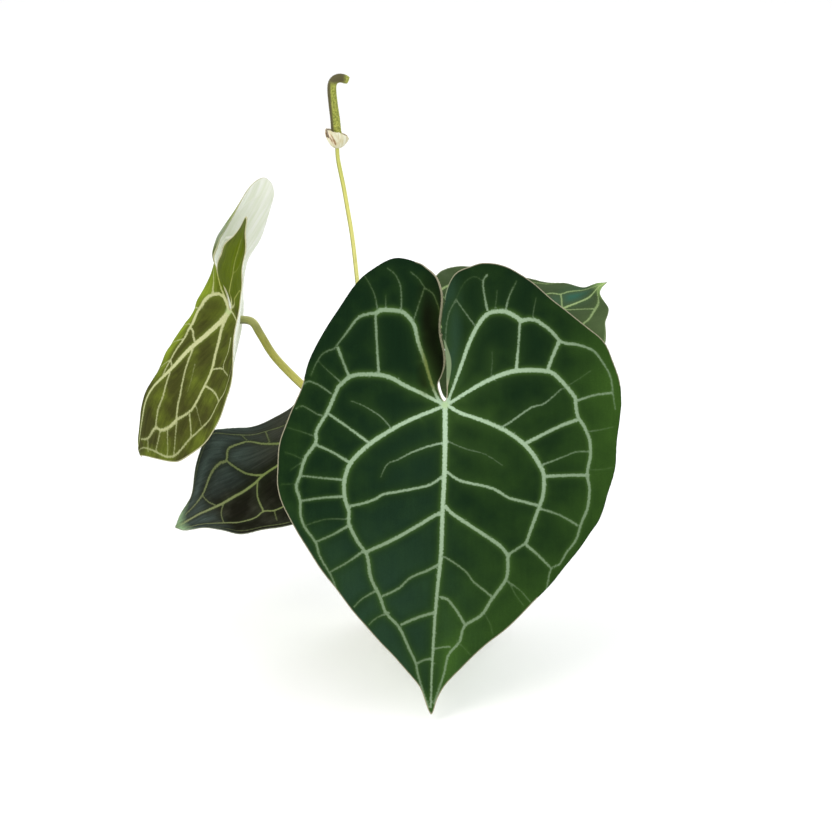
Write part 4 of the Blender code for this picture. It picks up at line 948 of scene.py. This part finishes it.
CROWN_TOP = 112.0
SOCKET_DEPTH = 9.0
SOCKET_GAP = 0.4
STALK_RADIUS = 0.0028
KNEE_RADIUS = 0.0037
STEM_SIDES = 28
STALKS = {
    "front": {
        "foot": (0, -8.5),
        "way": [(0, -14, 124), (0, -38, 150), (1, -66, 178), (1.4, -84, 190)],
        "seat": (0.6, -5.5),
        "colours": ("#5b4a2c", "#5f6a2c", "#6f7f38", "#8a9a52"),
    },
    "left": {
        "foot": (-8.4, -1.5),
        "way": [
            (-15, -6, 125), (-35, -15, 138), (-59, -21, 157.8), (-79, -20, 173.7), (-94, -16, 184.8),
            (-113.2, -8, 202.6), (-123.4, -4, 218.1), (-129.4, -2, 226.6),
        ],
        "seat": (1.0, -5.0),
        "colours": ("#5b4a2c", "#ece47e", "#b4b052", "#b0b378"),
    },
    "low": {
        "foot": (-4.3, 7.4),
        "way": [(-10, 12, 123), (-28, 19, 128), (-52, 22, 126), (-76, 23, 123)],
        "seat": (0, -5.0),
        "colours": ("#54452c", "#5a632c", "#4f5a2e", "#65704a"),
    },
    "back": {
        "foot": (6.5, 5.5),
        "way": [(10, 11, 124), (17, 24, 146), (25, 34, 172), (31, 34, 190)],
        "seat": (0, -5.0),
        "colours": ("#5b4a2c", "#66702e", "#6c7a3c", "#80905a"),
    },
}


def new_tree(name, takes, gives, inputs):
    """A node tree from one shape to another, with further inputs, and the sockets that hand them over."""
    tree = bpy.data.node_groups.new(name, "GeometryNodeTree")
    tree.interface.new_socket(takes, in_out="INPUT", socket_type="NodeSocketGeometry")
    for label, kind in inputs.items():
        tree.interface.new_socket(label, in_out="INPUT", socket_type="NodeSocket" + kind)
    tree.interface.new_socket(gives, in_out="OUTPUT", socket_type="NodeSocketGeometry")
    return tree, add(tree, "NodeGroupInput").outputs


def captured(tree, shape, kind, label, value):
    """Keeps a value on the points of a shape: the outputs are the shape and what was kept."""
    made = add(tree, "GeometryNodeCaptureAttribute")
    made.capture_items.new(kind, label)
    tree.links.new(shape, made.inputs[0])
    tree.links.new(value, made.inputs[1])
    return made.outputs


def read_in_tree(tree, label, kind):
    """What the points carry under a name."""
    return add(tree, "GeometryNodeInputNamedAttribute", {"Name": label}, data_type=kind).outputs["Attribute"]


def coated(tree, shape, material):
    """The shape with a material on it."""
    return add(tree, "GeometryNodeSetMaterial", {"Geometry": shape, "Material": material}).outputs[0]


# The tree turns a line whose points carry a radius into a closed round stem, and stores on each point of it
# where it lies: its place round the stem, and how far along the stem it is.
stem_tree, given = new_tree("stem_along_line", "Line", "Stem", {"Sides": "Int", "Finish": "Material"})
spine = add(stem_tree, "GeometryNodeMeshToCurve", {"Mesh": given["Line"]}).outputs["Curve"]
length = add(stem_tree, "GeometryNodeSplineParameter").outputs["Length"]
spine = captured(stem_tree, spine, "FLOAT", "Run", length)
ring = add(stem_tree, "GeometryNodeCurvePrimitiveCircle", {"Resolution": given["Sides"], "Radius": 1.0})
turn = add(stem_tree, "GeometryNodeInputPosition").outputs[0]
ring = captured(stem_tree, ring.outputs["Curve"], "VECTOR", "Round", turn)
wide = read_in_tree(stem_tree, "radius_here", "FLOAT")
sweep = {"Curve": spine[0], "Profile Curve": ring[0], "Scale": wide, "Fill Caps": True}
tube = add(stem_tree, "GeometryNodeCurveToMesh", sweep).outputs[0]
place = {0: axis(stem_tree, ring[1], 0), 1: axis(stem_tree, ring[1], 1), 2: spine[1]}
place = add(stem_tree, "ShaderNodeCombineXYZ", place).outputs[0]
stored = add(
    stem_tree, "GeometryNodeStoreNamedAttribute", {"Geometry": tube, "Name": "stem_at", "Value": place},
    data_type="FLOAT_VECTOR", domain="POINT",
).outputs[0]
add(stem_tree, "NodeGroupOutput", {"Stem": coated(stem_tree, stored, given["Finish"])})


def grown(name, base, tree, values):
    """The mesh that a node tree makes from a base object, as a plain object; the base goes."""
    grow = base.modifiers.new("grow", "NODES")
    grow.node_group = tree
    for item in tree.interface.items_tree:
        if item.name in values:
            grow[item.identifier] = values[item.name]
    graph = bpy.context.evaluated_depsgraph_get()
    shown = base.evaluated_get(graph)
    mesh = bpy.data.meshes.new_from_object(shown, preserve_all_data_layers=True, depsgraph=graph)
    bpy.data.objects.remove(base, do_unlink=True)
    mesh.name = name
    return put(name, mesh)


def closed_up(made):
    """Merges doubles, turns every face of a closed piece outward and shades it smooth."""
    build = bmesh.new()
    build.from_mesh(made.data)
    bmesh.ops.remove_doubles(build, verts=build.verts, dist=1e-6)
    bmesh.ops.recalc_face_normals(build, faces=build.faces)
    build.to_mesh(made.data)
    build.free()
    made.data.polygons.foreach_set("use_smooth", [True] * len(made.data.polygons))
    return made


def ramp_of(tree, share, *stops):
    """A colour ramp; each stop is a place from 0 to 1 and a hex colour."""
    ramp = add(tree, "ShaderNodeValToRGB", {0: share})
    ends = zip(ramp.color_ramp.elements, (stops[0], stops[-1]))
    for element, (where, code) in ends:
        element.position = where
        element.color = linear(code)
    for where, code in stops[1:-1]:
        ramp.color_ramp.elements.new(where).color = linear(code)
    return ramp.outputs[0]


def stem_skin(name, colours, length, shady="#5c5f2a", lit=(-0.55, 0.15, 0.82)):
    """Smooth living skin, slightly waxy: fine streaks run lengthwise about half a millimetre apart, the
    colour changes from the foot to the knee, and the side that faces away from lit is darker."""
    foot, low, high, knee = colours
    made, tree, shader = finish(name, Roughness=0.42, Specular_IOR_Level=0.35)
    at = field(tree, "stem_at", "Vector")
    share = sums(tree, "DIVIDE", axis(tree, at, 2), length)
    colour = ramp_of(tree, share, (0.0, foot), (0.12, low), (0.80, high), (0.93, knee), (1.0, knee))
    lines = noise(tree, stretched(tree, at, (3.0, 3.0, 60.0)), 1.6, 4.0, 0.65)
    colour = dimmed(tree, colour, scaled(tree, lines, 0.3, 0.7, 0.80, 1.18))
    lean = measure(tree, "DOT_PRODUCT", add(tree, "ShaderNodeNewGeometry").outputs["Normal"], lit)
    away = scaled(tree, lean, 0.25, -0.45, 0.0, 0.75, "SMOOTHSTEP")
    dress(tree, shader, blend(tree, away, colour, shady), lines, 0.2, 0.0002)
    return made


def stem(name, line, radii, skin, node, sides=STEM_SIDES):
    """A closed round stem along a line, in the place of a node."""
    mesh = bpy.data.meshes.new("line")
    mesh.from_pydata(np.asarray(line, float).tolist(), [(i, i + 1) for i in range(len(line) - 1)], [])
    carry(mesh, "radius_here", radii)
    made = closed_up(grown(name, put("line", mesh), stem_tree, {"Sides": sides, "Finish": skin}))
    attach(made, "root")
    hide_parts(node)


def hill(run, wide, power):
    """1 at a stem's end and fading with the distance from it."""
    return np.exp(-((run / wide) ** power))


def from_crown(foot, way, step):
    """A stem's line in metres, up out of its socket in the crown and through the points of its way."""
    bottom = np.array([*foot, CROWN_TOP - SOCKET_DEPTH + SOCKET_GAP])
    return np.vstack([bottom, smooth_line([np.array([*foot, CROWN_TOP + 3]), *way], False, step)])


for key, layout in STALKS.items():
    seat_flat = np.array([layout["seat"]], float)
    up = upward(DRAPES[key], seat_flat)[0]
    seat = DRAPES[key](seat_flat)[0] - up * 0.75
    way = [*layout["way"], seat - up * 9, seat - up * 3]
    line = np.vstack([from_crown(layout["foot"], way, 2.0), seat]) * MM
    run = run_of(line)
    knee = hill(run[-1] - run, 0.012, 4) * (KNEE_RADIUS - STALK_RADIUS)
    skin = stem_skin("leaf stalk skin, " + key, layout["colours"], run[-1])
    stem("petiole_" + key, line, STALK_RADIUS + (hill(run, 0.020, 2) * 0.0003 + knee), skin, "stalk_" + key)

FLOWER_FOOT = (1.2, -0.4)
FLOWER_STALK_RADIUS = 0.0015
FLOWER_WAY = [
    (-4, 0.5, 119), (-19, 5, 135), (-38, 12, 165), (-50, 18, 201), (-56.3, 23, 232), (-57.8, 25, 249),
    (-60.2, 28, 272), (-62, 30, 285), (-64, 31, 297), (-66.4, 33, 311), (-68.6, 34, 322), (-70.5, 35, 332),
    (-71, 35.5, 341.3),
]
line = from_crown(FLOWER_FOOT, FLOWER_WAY, 2.5) * MM
run = run_of(line)
radii = FLOWER_STALK_RADIUS + 0.0002 * hill(run, 0.020, 2) - 0.0001 * hill(run[-1] - run, 0.012, 4)
skin = stem_skin(
    "flower stalk skin", ("#9a944c", "#fbf9b4", "#e2de80", "#c6c868"), run[-1], "#7c8038", (0.8, -0.35, 0.25)
)
stem("peduncle", line, radii, skin, "flower_stalk")


# Pot. A plain moulded pot, white and satin, with a thick rolled rim and four drain holes; it is turned here
# from its profile in finer steps than the solid has.

POT_RIM_RADIUS = 0.0605
POT_BASE_RADIUS = 0.0430
POT_HEIGHT = 0.1100
POT_RIM_HEIGHT = 0.0180
POT_WALL = 0.0024
POT_FLOOR = 0.0034
POT_STEPS = 120
DRAIN_COUNT = 4
DRAIN_RING = 0.0270
DRAIN_RADIUS = 0.0045
DRAIN_DEPTH = 0.012
taper = (POT_RIM_RADIUS - 0.003 - POT_BASE_RADIUS) / (POT_HEIGHT - POT_RIM_HEIGHT)
shoulder = POT_HEIGHT - POT_RIM_HEIGHT
inner_low = POT_BASE_RADIUS + taper * POT_FLOOR - POT_WALL
inner_top = POT_BASE_RADIUS + taper * POT_HEIGHT - POT_WALL
POT_PROFILE = [
    (0.0, 0.0), (POT_BASE_RADIUS - 0.0034, 0.0), (POT_BASE_RADIUS - 0.0018, 0.0),
    (POT_BASE_RADIUS - 0.0008, 0.0004), (POT_BASE_RADIUS - 0.0002, 0.0010),
    (POT_BASE_RADIUS + taper * 0.0024, 0.0024), (POT_BASE_RADIUS + taper * 0.03, 0.03),
    (POT_BASE_RADIUS + taper * 0.06, 0.06), (POT_BASE_RADIUS + taper * shoulder, shoulder),
    (POT_RIM_RADIUS - 0.0010, shoulder + 0.0001), (POT_RIM_RADIUS - 0.0002, shoulder + 0.0003),
    (POT_RIM_RADIUS + 0.0002, shoulder + 0.0010), (POT_RIM_RADIUS + 0.0006, POT_HEIGHT - 0.0040),
    (POT_RIM_RADIUS + 0.0009, POT_HEIGHT - 0.0016), (POT_RIM_RADIUS + 0.0006, POT_HEIGHT - 0.0006),
    (POT_RIM_RADIUS - 0.0002, POT_HEIGHT - 0.0001), (POT_RIM_RADIUS - 0.0014, POT_HEIGHT),
    (inner_top + 0.0018, POT_HEIGHT), (inner_top + 0.0008, POT_HEIGHT - 0.0003),
    (inner_top, POT_HEIGHT - 0.0012), (inner_low + taper * 0.05, POT_FLOOR + 0.05),
    (inner_low, POT_FLOOR + 0.002), (inner_low - 0.0006, POT_FLOOR + 0.0006), (inner_low - 0.002, POT_FLOOR),
    (0.0, POT_FLOOR),
]


def applied(made):
    """Makes what an object's modifiers show its own mesh."""
    graph = bpy.context.evaluated_depsgraph_get()
    made.data = bpy.data.meshes.new_from_object(made.evaluated_get(graph))
    made.modifiers.clear()


plastic, tree, shader = finish("moulded pot plastic, satin white", Roughness=0.38, Specular_IOR_Level=0.45)
# Splash dust gathers on the lowest 30 mm; a faint moulding texture is drawn at 1.5 mm.
at = add(tree, "ShaderNodeTexCoord").outputs["Object"]
low = scaled(tree, axis(tree, at, 2), 0.030, 0.0, 0.0, 0.55)
dust = sums(tree, "MULTIPLY", low, noise(tree, at, 90.0, 5.0, 0.6))
dress(tree, shader, blend(tree, dust, "#ecece8", "#b9b1a2"), noise(tree, at, 650.0, 2.0), 0.08, 0.0002)

mesh = bpy.data.meshes.new("pot_shell")
mesh.from_pydata([(r, 0.0, z) for r, z in POT_PROFILE], [(i, i + 1) for i in range(len(POT_PROFILE) - 1)], [])
pot = put("pot_shell", mesh)
spin = pot.modifiers.new("turn", "SCREW")
spin.axis = "Z"
spin.angle = math.tau
spin.steps = POT_STEPS
spin.render_steps = POT_STEPS
spin.use_merge_vertices = True
spin.merge_threshold = 0.00005
applied(pot)
pot.data.materials.clear()
pot.data.materials.append(plastic)
closed_up(pot)

drains = bmesh.new()
for i in range(DRAIN_COUNT):
    angle = math.tau * (i + 0.5) / DRAIN_COUNT
    spot = Matrix.Translation((DRAIN_RING * math.cos(angle), DRAIN_RING * math.sin(angle), POT_FLOOR / 2))
    bmesh.ops.create_cone(
        drains, cap_ends=True, segments=32, radius1=DRAIN_RADIUS, radius2=DRAIN_RADIUS, depth=DRAIN_DEPTH,
        matrix=spot,
    )
drain_mesh = bpy.data.meshes.new("drains")
drains.to_mesh(drain_mesh)
drains.free()
drain = put("drains", drain_mesh)
bore = pot.modifiers.new("drains", "BOOLEAN")
bore.operation = "DIFFERENCE"
bore.solver = "EXACT"
bore.object = drain
applied(pot)
bpy.data.objects.remove(drain, do_unlink=True)
pot.data.set_sharp_from_angle(angle=math.radians(50))
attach(pot, "root")
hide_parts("pot")


# Potting mix. Loose bark, coir and perlite fill the pot to 12 mm below its rim; the top is rough and dark,
# with loose chips lying on it.

MIX_TOP = 0.0980
MIX_FOOT = POT_FLOOR + 0.0004
RINGS = 64
SPOKES = 200
mix_edge = POT_BASE_RADIUS + taper * (MIX_TOP - 0.001) - POT_WALL - 0.00064


def mix_height(x, y):
    """The same slow waves as the solid's top, with crumbs of 2 to 5 mm on them."""
    slow = 0.0016 * np.sin(520 * x + 2.1 * np.sin(410 * y)) + 0.0013 * np.sin(610 * y + 1.7 * np.sin(350 * x))
    crumbs = 0.0007 * np.sin(1900 * x + 3 * np.sin(1300 * y)) * np.sin(2100 * y + 2 * np.sin(1700 * x))
    return MIX_TOP - 0.001 + slow + crumbs


def circle(far, count):
    """Points round the origin."""
    angles = [math.tau * i / count for i in range(count)]
    return [(far * math.cos(angle), far * math.sin(angle)) for angle in angles]


soil, tree, shader = finish("potting mix of bark, coir and peat", Roughness=0.95, Specular_IOR_Level=0.15)
at = add(tree, "ShaderNodeTexCoord").outputs["Object"]
# Crumbs 2 to 4 mm across, with coir dust drawn at 0.6 mm.
crumb = add(tree, "ShaderNodeTexVoronoi", {"Vector": at, "Scale": 330.0}).outputs["Color"]
dust = noise(tree, at, 1500.0, 3.0)
colour = ramp_of(tree, axis(tree, crumb, 0), (0.0, "#20160f"), (0.6, "#382719"), (1.0, "#5a4330"))
dress(tree, shader, dimmed(tree, colour, scaled(tree, dust, 0.3, 0.7, 0.7, 1.3)), dust, 0.7, 0.0006)

points = [(0.0, 0.0, MIX_FOOT)]
points += [(x, y, MIX_FOOT) for x, y in circle(inner_low - 0.0030, SPOKES)]
points += [(x, y, POT_FLOOR + 0.004) for x, y in circle(inner_low + taper * 0.002 - 0.00056, SPOKES)]
for ring in range(RINGS, 0, -1):
    drop = 0.001 if ring == RINGS else 0.0
    points += [(x, y, float(mix_height(x, y)) - drop) for x, y in circle(mix_edge * ring / RINGS, SPOKES)]
points.append((0.0, 0.0, MIX_TOP))
faces = [(0, 1 + (i + 1) % SPOKES, 1 + i) for i in range(SPOKES)]
for band in range(RINGS + 1):
    first = 1 + band * SPOKES
    for i in range(SPOKES):
        j = (i + 1) % SPOKES
        faces.append((first + i, first + j, first + SPOKES + j, first + SPOKES + i))
last = 1 + (RINGS + 1) * SPOKES
faces += [(last + i, last + (i + 1) % SPOKES, last + SPOKES) for i in range(SPOKES)]
mix = closed_up(mesh_object("mix_bed", points, faces, soil))
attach(mix, "root")
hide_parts("potting_mix")

bark, tree, shader = finish("pine bark chips", Roughness=0.9, Specular_IOR_Level=0.2)
at = add(tree, "ShaderNodeTexCoord").outputs["Object"]
# Flakes of two browns, from 4 mm across down to a tenth of a millimetre.
flakes = noise(tree, at, 260.0, 5.0, 0.7)
dress(tree, shader, ramp_of(tree, flakes, (0.32, "#2a1a10"), (0.68, "#7a573a")), flakes, 0.6, 0.0005)

perlite, tree, shader = finish("expanded perlite grains", Roughness=0.85, Specular_IOR_Level=0.2)
at = add(tree, "ShaderNodeTexCoord").outputs["Object"]
# Puffed volcanic glass: white, with pits drawn at 0.5 mm and some peat stain.
pits = noise(tree, at, 1800.0, 2.0)
stain = scaled(tree, noise(tree, at, 200.0, 2.0), 0.45, 0.75, 0.0, 0.5)
dress(tree, shader, blend(tree, stain, "#e9e6dd", "#a0917a"), pits, 0.8, 0.0004)

# The tree strews lumps over a surface: each is a small ball, flattened and dented, turned at random.
strew, given = new_tree(
    "strewn_lumps", "Ground", "Lumps",
    {"Distance apart": "Float", "Size": "Float", "Flatness": "Float", "Seed": "Int", "Finish": "Material"},
)
seed = given["Seed"]
spread = add(
    strew, "GeometryNodeDistributePointsOnFaces",
    {"Mesh": given["Ground"], "Distance Min": given["Distance apart"], "Density Max": 200000.0, "Seed": seed},
    distribute_method="POISSON",
).outputs["Points"]
ball = add(strew, "GeometryNodeMeshIcoSphere", {"Radius": given["Size"], "Subdivisions": 2}).outputs["Mesh"]
dent = add(strew, "ShaderNodeTexNoise", {"Scale": 420.0, "Detail": 1.0}).outputs["Color"]
dent = add(strew, "ShaderNodeVectorMath", {0: dent, 1: (0.5, 0.5, 0.5)}, operation="SUBTRACT").outputs[0]
dent = dimmed(strew, dent, sums(strew, "MULTIPLY", given["Size"], 2.2))
ball = add(strew, "GeometryNodeSetPosition", {"Geometry": ball, "Offset": dent}).outputs[0]
turns = {0: (0, 0, 0), 1: (0.7, 0.7, 6.28), "Seed": seed}
turn = add(strew, "FunctionNodeRandomValue", turns, data_type="FLOAT_VECTOR").outputs[0]
long = add(strew, "FunctionNodeRandomValue", {2: 0.55, 3: 1.35, "Seed": seed}, data_type="FLOAT").outputs[1]
wide = add(strew, "FunctionNodeRandomValue", {2: 0.6, 3: 1.1, "Seed": seed}, data_type="FLOAT").outputs[1]
size = {0: long, 1: wide, 2: sums(strew, "MULTIPLY", long, given["Flatness"])}
size = add(strew, "ShaderNodeCombineXYZ", size).outputs[0]
laid = {"Points": spread, "Instance": ball, "Rotation": turn, "Scale": size}
laid = add(strew, "GeometryNodeInstanceOnPoints", laid).outputs[0]
plain = add(strew, "GeometryNodeRealizeInstances", {"Geometry": laid}).outputs[0]
add(strew, "NodeGroupOutput", {"Lumps": coated(strew, plain, given["Finish"])})

STREW_INNER = 0.0190
STREW_OUTER = mix_edge - 0.0040
STREW_LIFT = 0.0006
STREW_STEPS = 48


def strewn_ground():
    """A flat ring over the mix for lumps to lie on, clear of the crown and the pot wall."""
    points = circle(STREW_INNER, STREW_STEPS) + circle(STREW_OUTER, STREW_STEPS)
    faces = []
    for i in range(STREW_STEPS):
        j = (i + 1) % STREW_STEPS
        faces.append((STREW_STEPS + i, STREW_STEPS + j, j, i))
    return mesh_object("ground", [(x, y, float(mix_height(x, y)) + STREW_LIFT) for x, y in points], faces)


for name, apart, size, flatness, seed, skin in (
    ("bark_chips", 0.0055, 0.0031, 0.42, 4, bark),
    ("perlite_grains", 0.0085, 0.0016, 0.85, 9, perlite),
):
    values = {"Distance apart": apart, "Size": size, "Flatness": flatness, "Seed": seed, "Finish": skin}
    lumps = grown(name, strewn_ground(), strew, values)
    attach(lumps, "root")


# Crown. The short stem sits in the mix, knobbly and brown, with a collar of dried sheath round the foot of
# each stalk; the solid's own shape is right, so it only gets its rind.

rind, tree, shader = finish("dry stem rind", Roughness=0.88, Specular_IOR_Level=0.2)
at = add(tree, "ShaderNodeTexCoord").outputs["Object"]
# Papery fibres run up the stem, 0.8 mm apart, green where the collars are alive.
fibre = noise(tree, stretched(tree, at, (1.0, 1.0, 0.25)), 1200.0, 4.0, 0.7)
alive = scaled(tree, axis(tree, at, 2), 0.107, 0.114, 0.0, 0.75)
colour = ramp_of(tree, fibre, (0.35, "#2f2214"), (0.65, "#8a6c45"))
dress(tree, shader, blend(tree, alive, colour, "#6d6f35"), fibre, 0.6, 0.0005)
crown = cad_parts["crown"]
crown.data.materials.clear()
crown.data.materials.append(rind)


# Spathe. The bract that once opened round the flower has withered to a small papery sheet, wrapped nearly
# once round the foot of the spike with its outer edge lapped in front, cream outside and tan streaked within,
# where the darker brown is in part painted shade inside the cup.

SPATHE_FOOT = np.array([-70.9, 35.4, 339.4])
SPATHE_LIP = [
    (-3.0, -4.4, 6.6), (-7.0, -2.6, 8.2), (-7.2, 0.6, 13.1), (-4.2, 4.8, 11.8), (0.6, 5.8, 10.4),
    (5.4, 4.0, 8.6), (7.6, -0.6, 6.6), (4.8, -5.2, 10.0), (0.6, -6.5, 11.6), (-3.2, -6.9, 12.6),
    (-6.0, -6.6, 13.2),
]
SPATHE_TURNS = [234, 205, 165, 130, 95, 50, 4, -30, -56, -80, -98]
ROUND = 180
TALL = 36
OUTER_STAND = 0.5
INNER_STAND = 0.08
SCAR_AT = (-0.0747, 0.029, 0.3470)
SCAR_ACROSS = (0.844, 0.0, 0.536)
SCAR_DOWN = (0.536, 0.0, -0.844)

papery, tree, shader = finish("withered bract, papery", Roughness=0.8, Specular_IOR_Level=0.15)
at = field(tree, "bract_at", "Vector")
# Dried veins run from foot to lip, about 0.7 mm apart at the foot.
fibre = noise(tree, stretched(tree, at, (11.0, 0.8, 1.0)), 1.5, 4.0, 0.65)
outside = ramp_of(tree, fibre, (0.35, "#cfc49a"), (0.62, "#eeeed8"))
# The inner face is tan, its darker brown in part painted shade inside the cup.
within_and_shade = ramp_of(tree, fibre, (0.40, "#9a744a"), (0.62, "#efe6d2"))
colour = blend(tree, axis(tree, at, 2), outside, within_and_shade)
# A brown scar, about 3 mm wide and 11 mm long, runs down the front from the upper left.
where = add(tree, "ShaderNodeTexCoord").outputs["Object"]
scar = add(tree, "ShaderNodeVectorMath", {0: where, 1: SCAR_AT}, operation="SUBTRACT").outputs[0]
off = measure(tree, "DOT_PRODUCT", scar, SCAR_ACROSS)
down = measure(tree, "DOT_PRODUCT", scar, SCAR_DOWN)
off = sums(tree, "MULTIPLY", sums(tree, "MULTIPLY", off, off), 3.6e5)
far = sums(tree, "MULTIPLY_ADD", sums(tree, "MULTIPLY", down, down), 2.8e4, off)
scarred = scaled(tree, far, 1.25, 0.6, 0.0, 0.9, "SMOOTHSTEP")
scarred = sums(tree, "MULTIPLY", scarred, scaled(tree, axis(tree, where, 1), 0.0365, 0.0335))
brown = ramp_of(tree, fibre, (0.43, "#8a6030"), (0.56, "#ecdcc0"))
dress(tree, shader, blend(tree, scarred, colour, brown), fibre, 0.5, 0.0003)


def on_line(line, run, where):
    """The point, or the value, that a line has at a distance along it."""
    return np.array([np.interp(where, run, line[:, k]) for k in range(3)])


lip = smooth_line(SPATHE_LIP, False, 0.4)
lip_run = run_of(lip)
knots = [lip_run[np.linalg.norm(lip - np.array(p), axis=1).argmin()] for p in SPATHE_LIP]
points = []
bract_at = []
for shell, stand in enumerate((OUTER_STAND, INNER_STAND)):
    for row in range(TALL + 1):
        up = row / TALL
        spread = up**0.68
        for column in range(ROUND + 1):
            turn = column / ROUND
            along = lip_run[-1] * turn
            edge = on_line(lip, lip_run, along)
            angle = math.radians(np.interp(along, knots, SPATHE_TURNS))
            foot = (1.8 + 0.8 * turn) * np.array([math.cos(angle), math.sin(angle)])
            flat = foot * (1 - spread) + edge[:2] * spread
            far = max(float(np.hypot(*flat)), 1.0)
            crease = 0.16 * up * math.sin(26 * turn + 3 * up) + 0.10 * up * math.sin(61 * turn)
            crease += 0.05 * math.sin(140 * turn)
            flat *= 1 + (0.35 * math.sin(math.pi * up) + crease + stand) / far
            frill = 0.25 * up**4 * math.sin(47 * turn) + 0.15 * up**4 * math.sin(113 * turn)
            points.append((SPATHE_FOOT + (flat[0], flat[1], 0.2 * (1 - up) + edge[2] * up + frill)) * MM)
            bract_at.append((turn, up, float(shell)))
across = ROUND + 1
sheet_size = across * (TALL + 1)
faces = []
for row in range(TALL):
    for column in range(ROUND):
        a = row * across + column
        faces.append((a, a + across, a + across + 1, a + 1))
        faces.append(tuple(sheet_size + i for i in (a, a + 1, a + across + 1, a + across)))
edge_walk = list(range(across)) + [r * across + ROUND for r in range(1, TALL + 1)]
edge_walk += [TALL * across + c for c in range(ROUND - 1, -1, -1)]
edge_walk += [r * across for r in range(TALL - 1, 0, -1)]
for i, a in enumerate(edge_walk):
    b = edge_walk[(i + 1) % len(edge_walk)]
    faces.append((a, b, sheet_size + b, sheet_size + a))
bract = mesh_object("bract", points, faces, papery)
carry(bract.data, "bract_at", bract_at)
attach(bract, "root")
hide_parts("spathe")


# Spadix. A finger of tiny flowers packed in spiral rows on a fleshy core, bent over at its end; green and
# yellow green, with a dull brown painted shade along its left side and round the bend.

SPADIX_WAY = [
    (-71.4, 35.8, 341.7), (-71.5, 36, 350), (-72.1, 36, 359), (-73.3, 36, 369), (-74.1, 36, 379),
    (-73.3, 36, 384), (-70.6, 36, 386.4), (-67, 36, 386.7), (-62.6, 36, 385),
]
CORE_SIDES = 40
FLORET_RADIUS = 0.00062
FLORET_STEP = 0.000092
FLORET_TURN = math.radians(137.508)
FRONT = np.array((0.0, -1.0, 0.0))

flesh, tree, shader = finish("fleshy flower spike", Roughness=0.6, Specular_IOR_Level=0.3)
at = add(tree, "ShaderNodeTexCoord").outputs["Object"]
x = axis(tree, at, 0)
z = axis(tree, at, 2)
# Painted shade in dull brown lies on the side that faces left and up, away from the light; floret tips are
# paler, drawn at 1 mm.
middle = scaled(tree, z, 0.340, 0.376, -0.0709, -0.0738)
left = scaled(tree, sums(tree, "SUBTRACT", x, middle), -0.0002, -0.0019, 0.0, 1.0, "SMOOTHSTEP")
bend = scaled(tree, z, 0.3815, 0.3855, 0.0, 1.0, "SMOOTHSTEP")
bend = sums(tree, "MULTIPLY", bend, scaled(tree, x, -0.0662, -0.0636, 1.0, 0.0))
shaded_side = sums(tree, "MAXIMUM", left, bend)
colour = ramp_of(tree, noise(tree, at, 900.0, 3.0, 0.7), (0.36, "#6b7a26"), (0.64, "#cdd06a"))
tree.links.new(blend(tree, shaded_side, colour, "#625d3c"), shader.inputs["Base Color"])

line = smooth_line(SPADIX_WAY, False, 0.8) * MM
done = np.linspace(0, 1, len(line))
radii = 0.0028 + 0.0008 * np.exp(-done * 5) - 0.0012 * np.exp(-done * 22) - 0.0003 * done
radii *= np.sqrt(np.clip(1.0 - (np.maximum(done - 0.94, 0) / 0.066) ** 2, 0.12, 1.0))
radii[0] *= 0.6
stem("spike_core", line, radii, flesh, "spadix", CORE_SIDES)

# The tree sets one floret at each point it is given, square to the core along the stored direction.
floret_tree, given = new_tree("florets", "Spots", "Florets", {"Floret size": "Float", "Finish": "Material"})
facing = {"Vector": read_in_tree(floret_tree, "outward", "FLOAT_VECTOR")}
facing = add(floret_tree, "FunctionNodeAlignRotationToVector", facing, axis="Z").outputs[0]
spots = add(floret_tree, "GeometryNodeMeshToPoints", {"Mesh": given["Spots"]}).outputs[0]
bead = {"Segments": 8, "Rings": 5, "Radius": given["Floret size"]}
bead = add(floret_tree, "GeometryNodeMeshUVSphere", bead).outputs["Mesh"]
laid = {"Points": spots, "Instance": bead, "Rotation": facing, "Scale": (1.0, 1.0, 0.85)}
laid = add(floret_tree, "GeometryNodeInstanceOnPoints", laid).outputs[0]
plain = add(floret_tree, "GeometryNodeRealizeInstances", {"Geometry": laid}).outputs[0]
rounded = add(floret_tree, "GeometryNodeSetShadeSmooth", {"Geometry": plain}).outputs[0]
add(floret_tree, "NodeGroupOutput", {"Florets": coated(floret_tree, rounded, given["Finish"])})

way = np.gradient(line, axis=0)
way /= np.linalg.norm(way, axis=1, keepdims=True)
run = run_of(line)
spots = []
outward = []
for i in range(int((run[-1] - 0.0010) / FLORET_STEP)):
    far = 0.0006 + i * FLORET_STEP
    angle = i * FLORET_TURN
    right = np.cross(on_line(way, run, far), FRONT)
    side = math.cos(angle) * right + math.sin(angle) * FRONT
    spots.append(on_line(line, run, far) + side * (np.interp(far, run, radii) + 0.00005))
    outward.append(side)
mesh = bpy.data.meshes.new("seats")
mesh.from_pydata(np.array(spots).tolist(), [], [])
carry(mesh, "outward", outward)
florets = grown("florets", put("seats", mesh), floret_tree, {"Floret size": FLORET_RADIUS, "Finish": flesh})
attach(florets, "root")
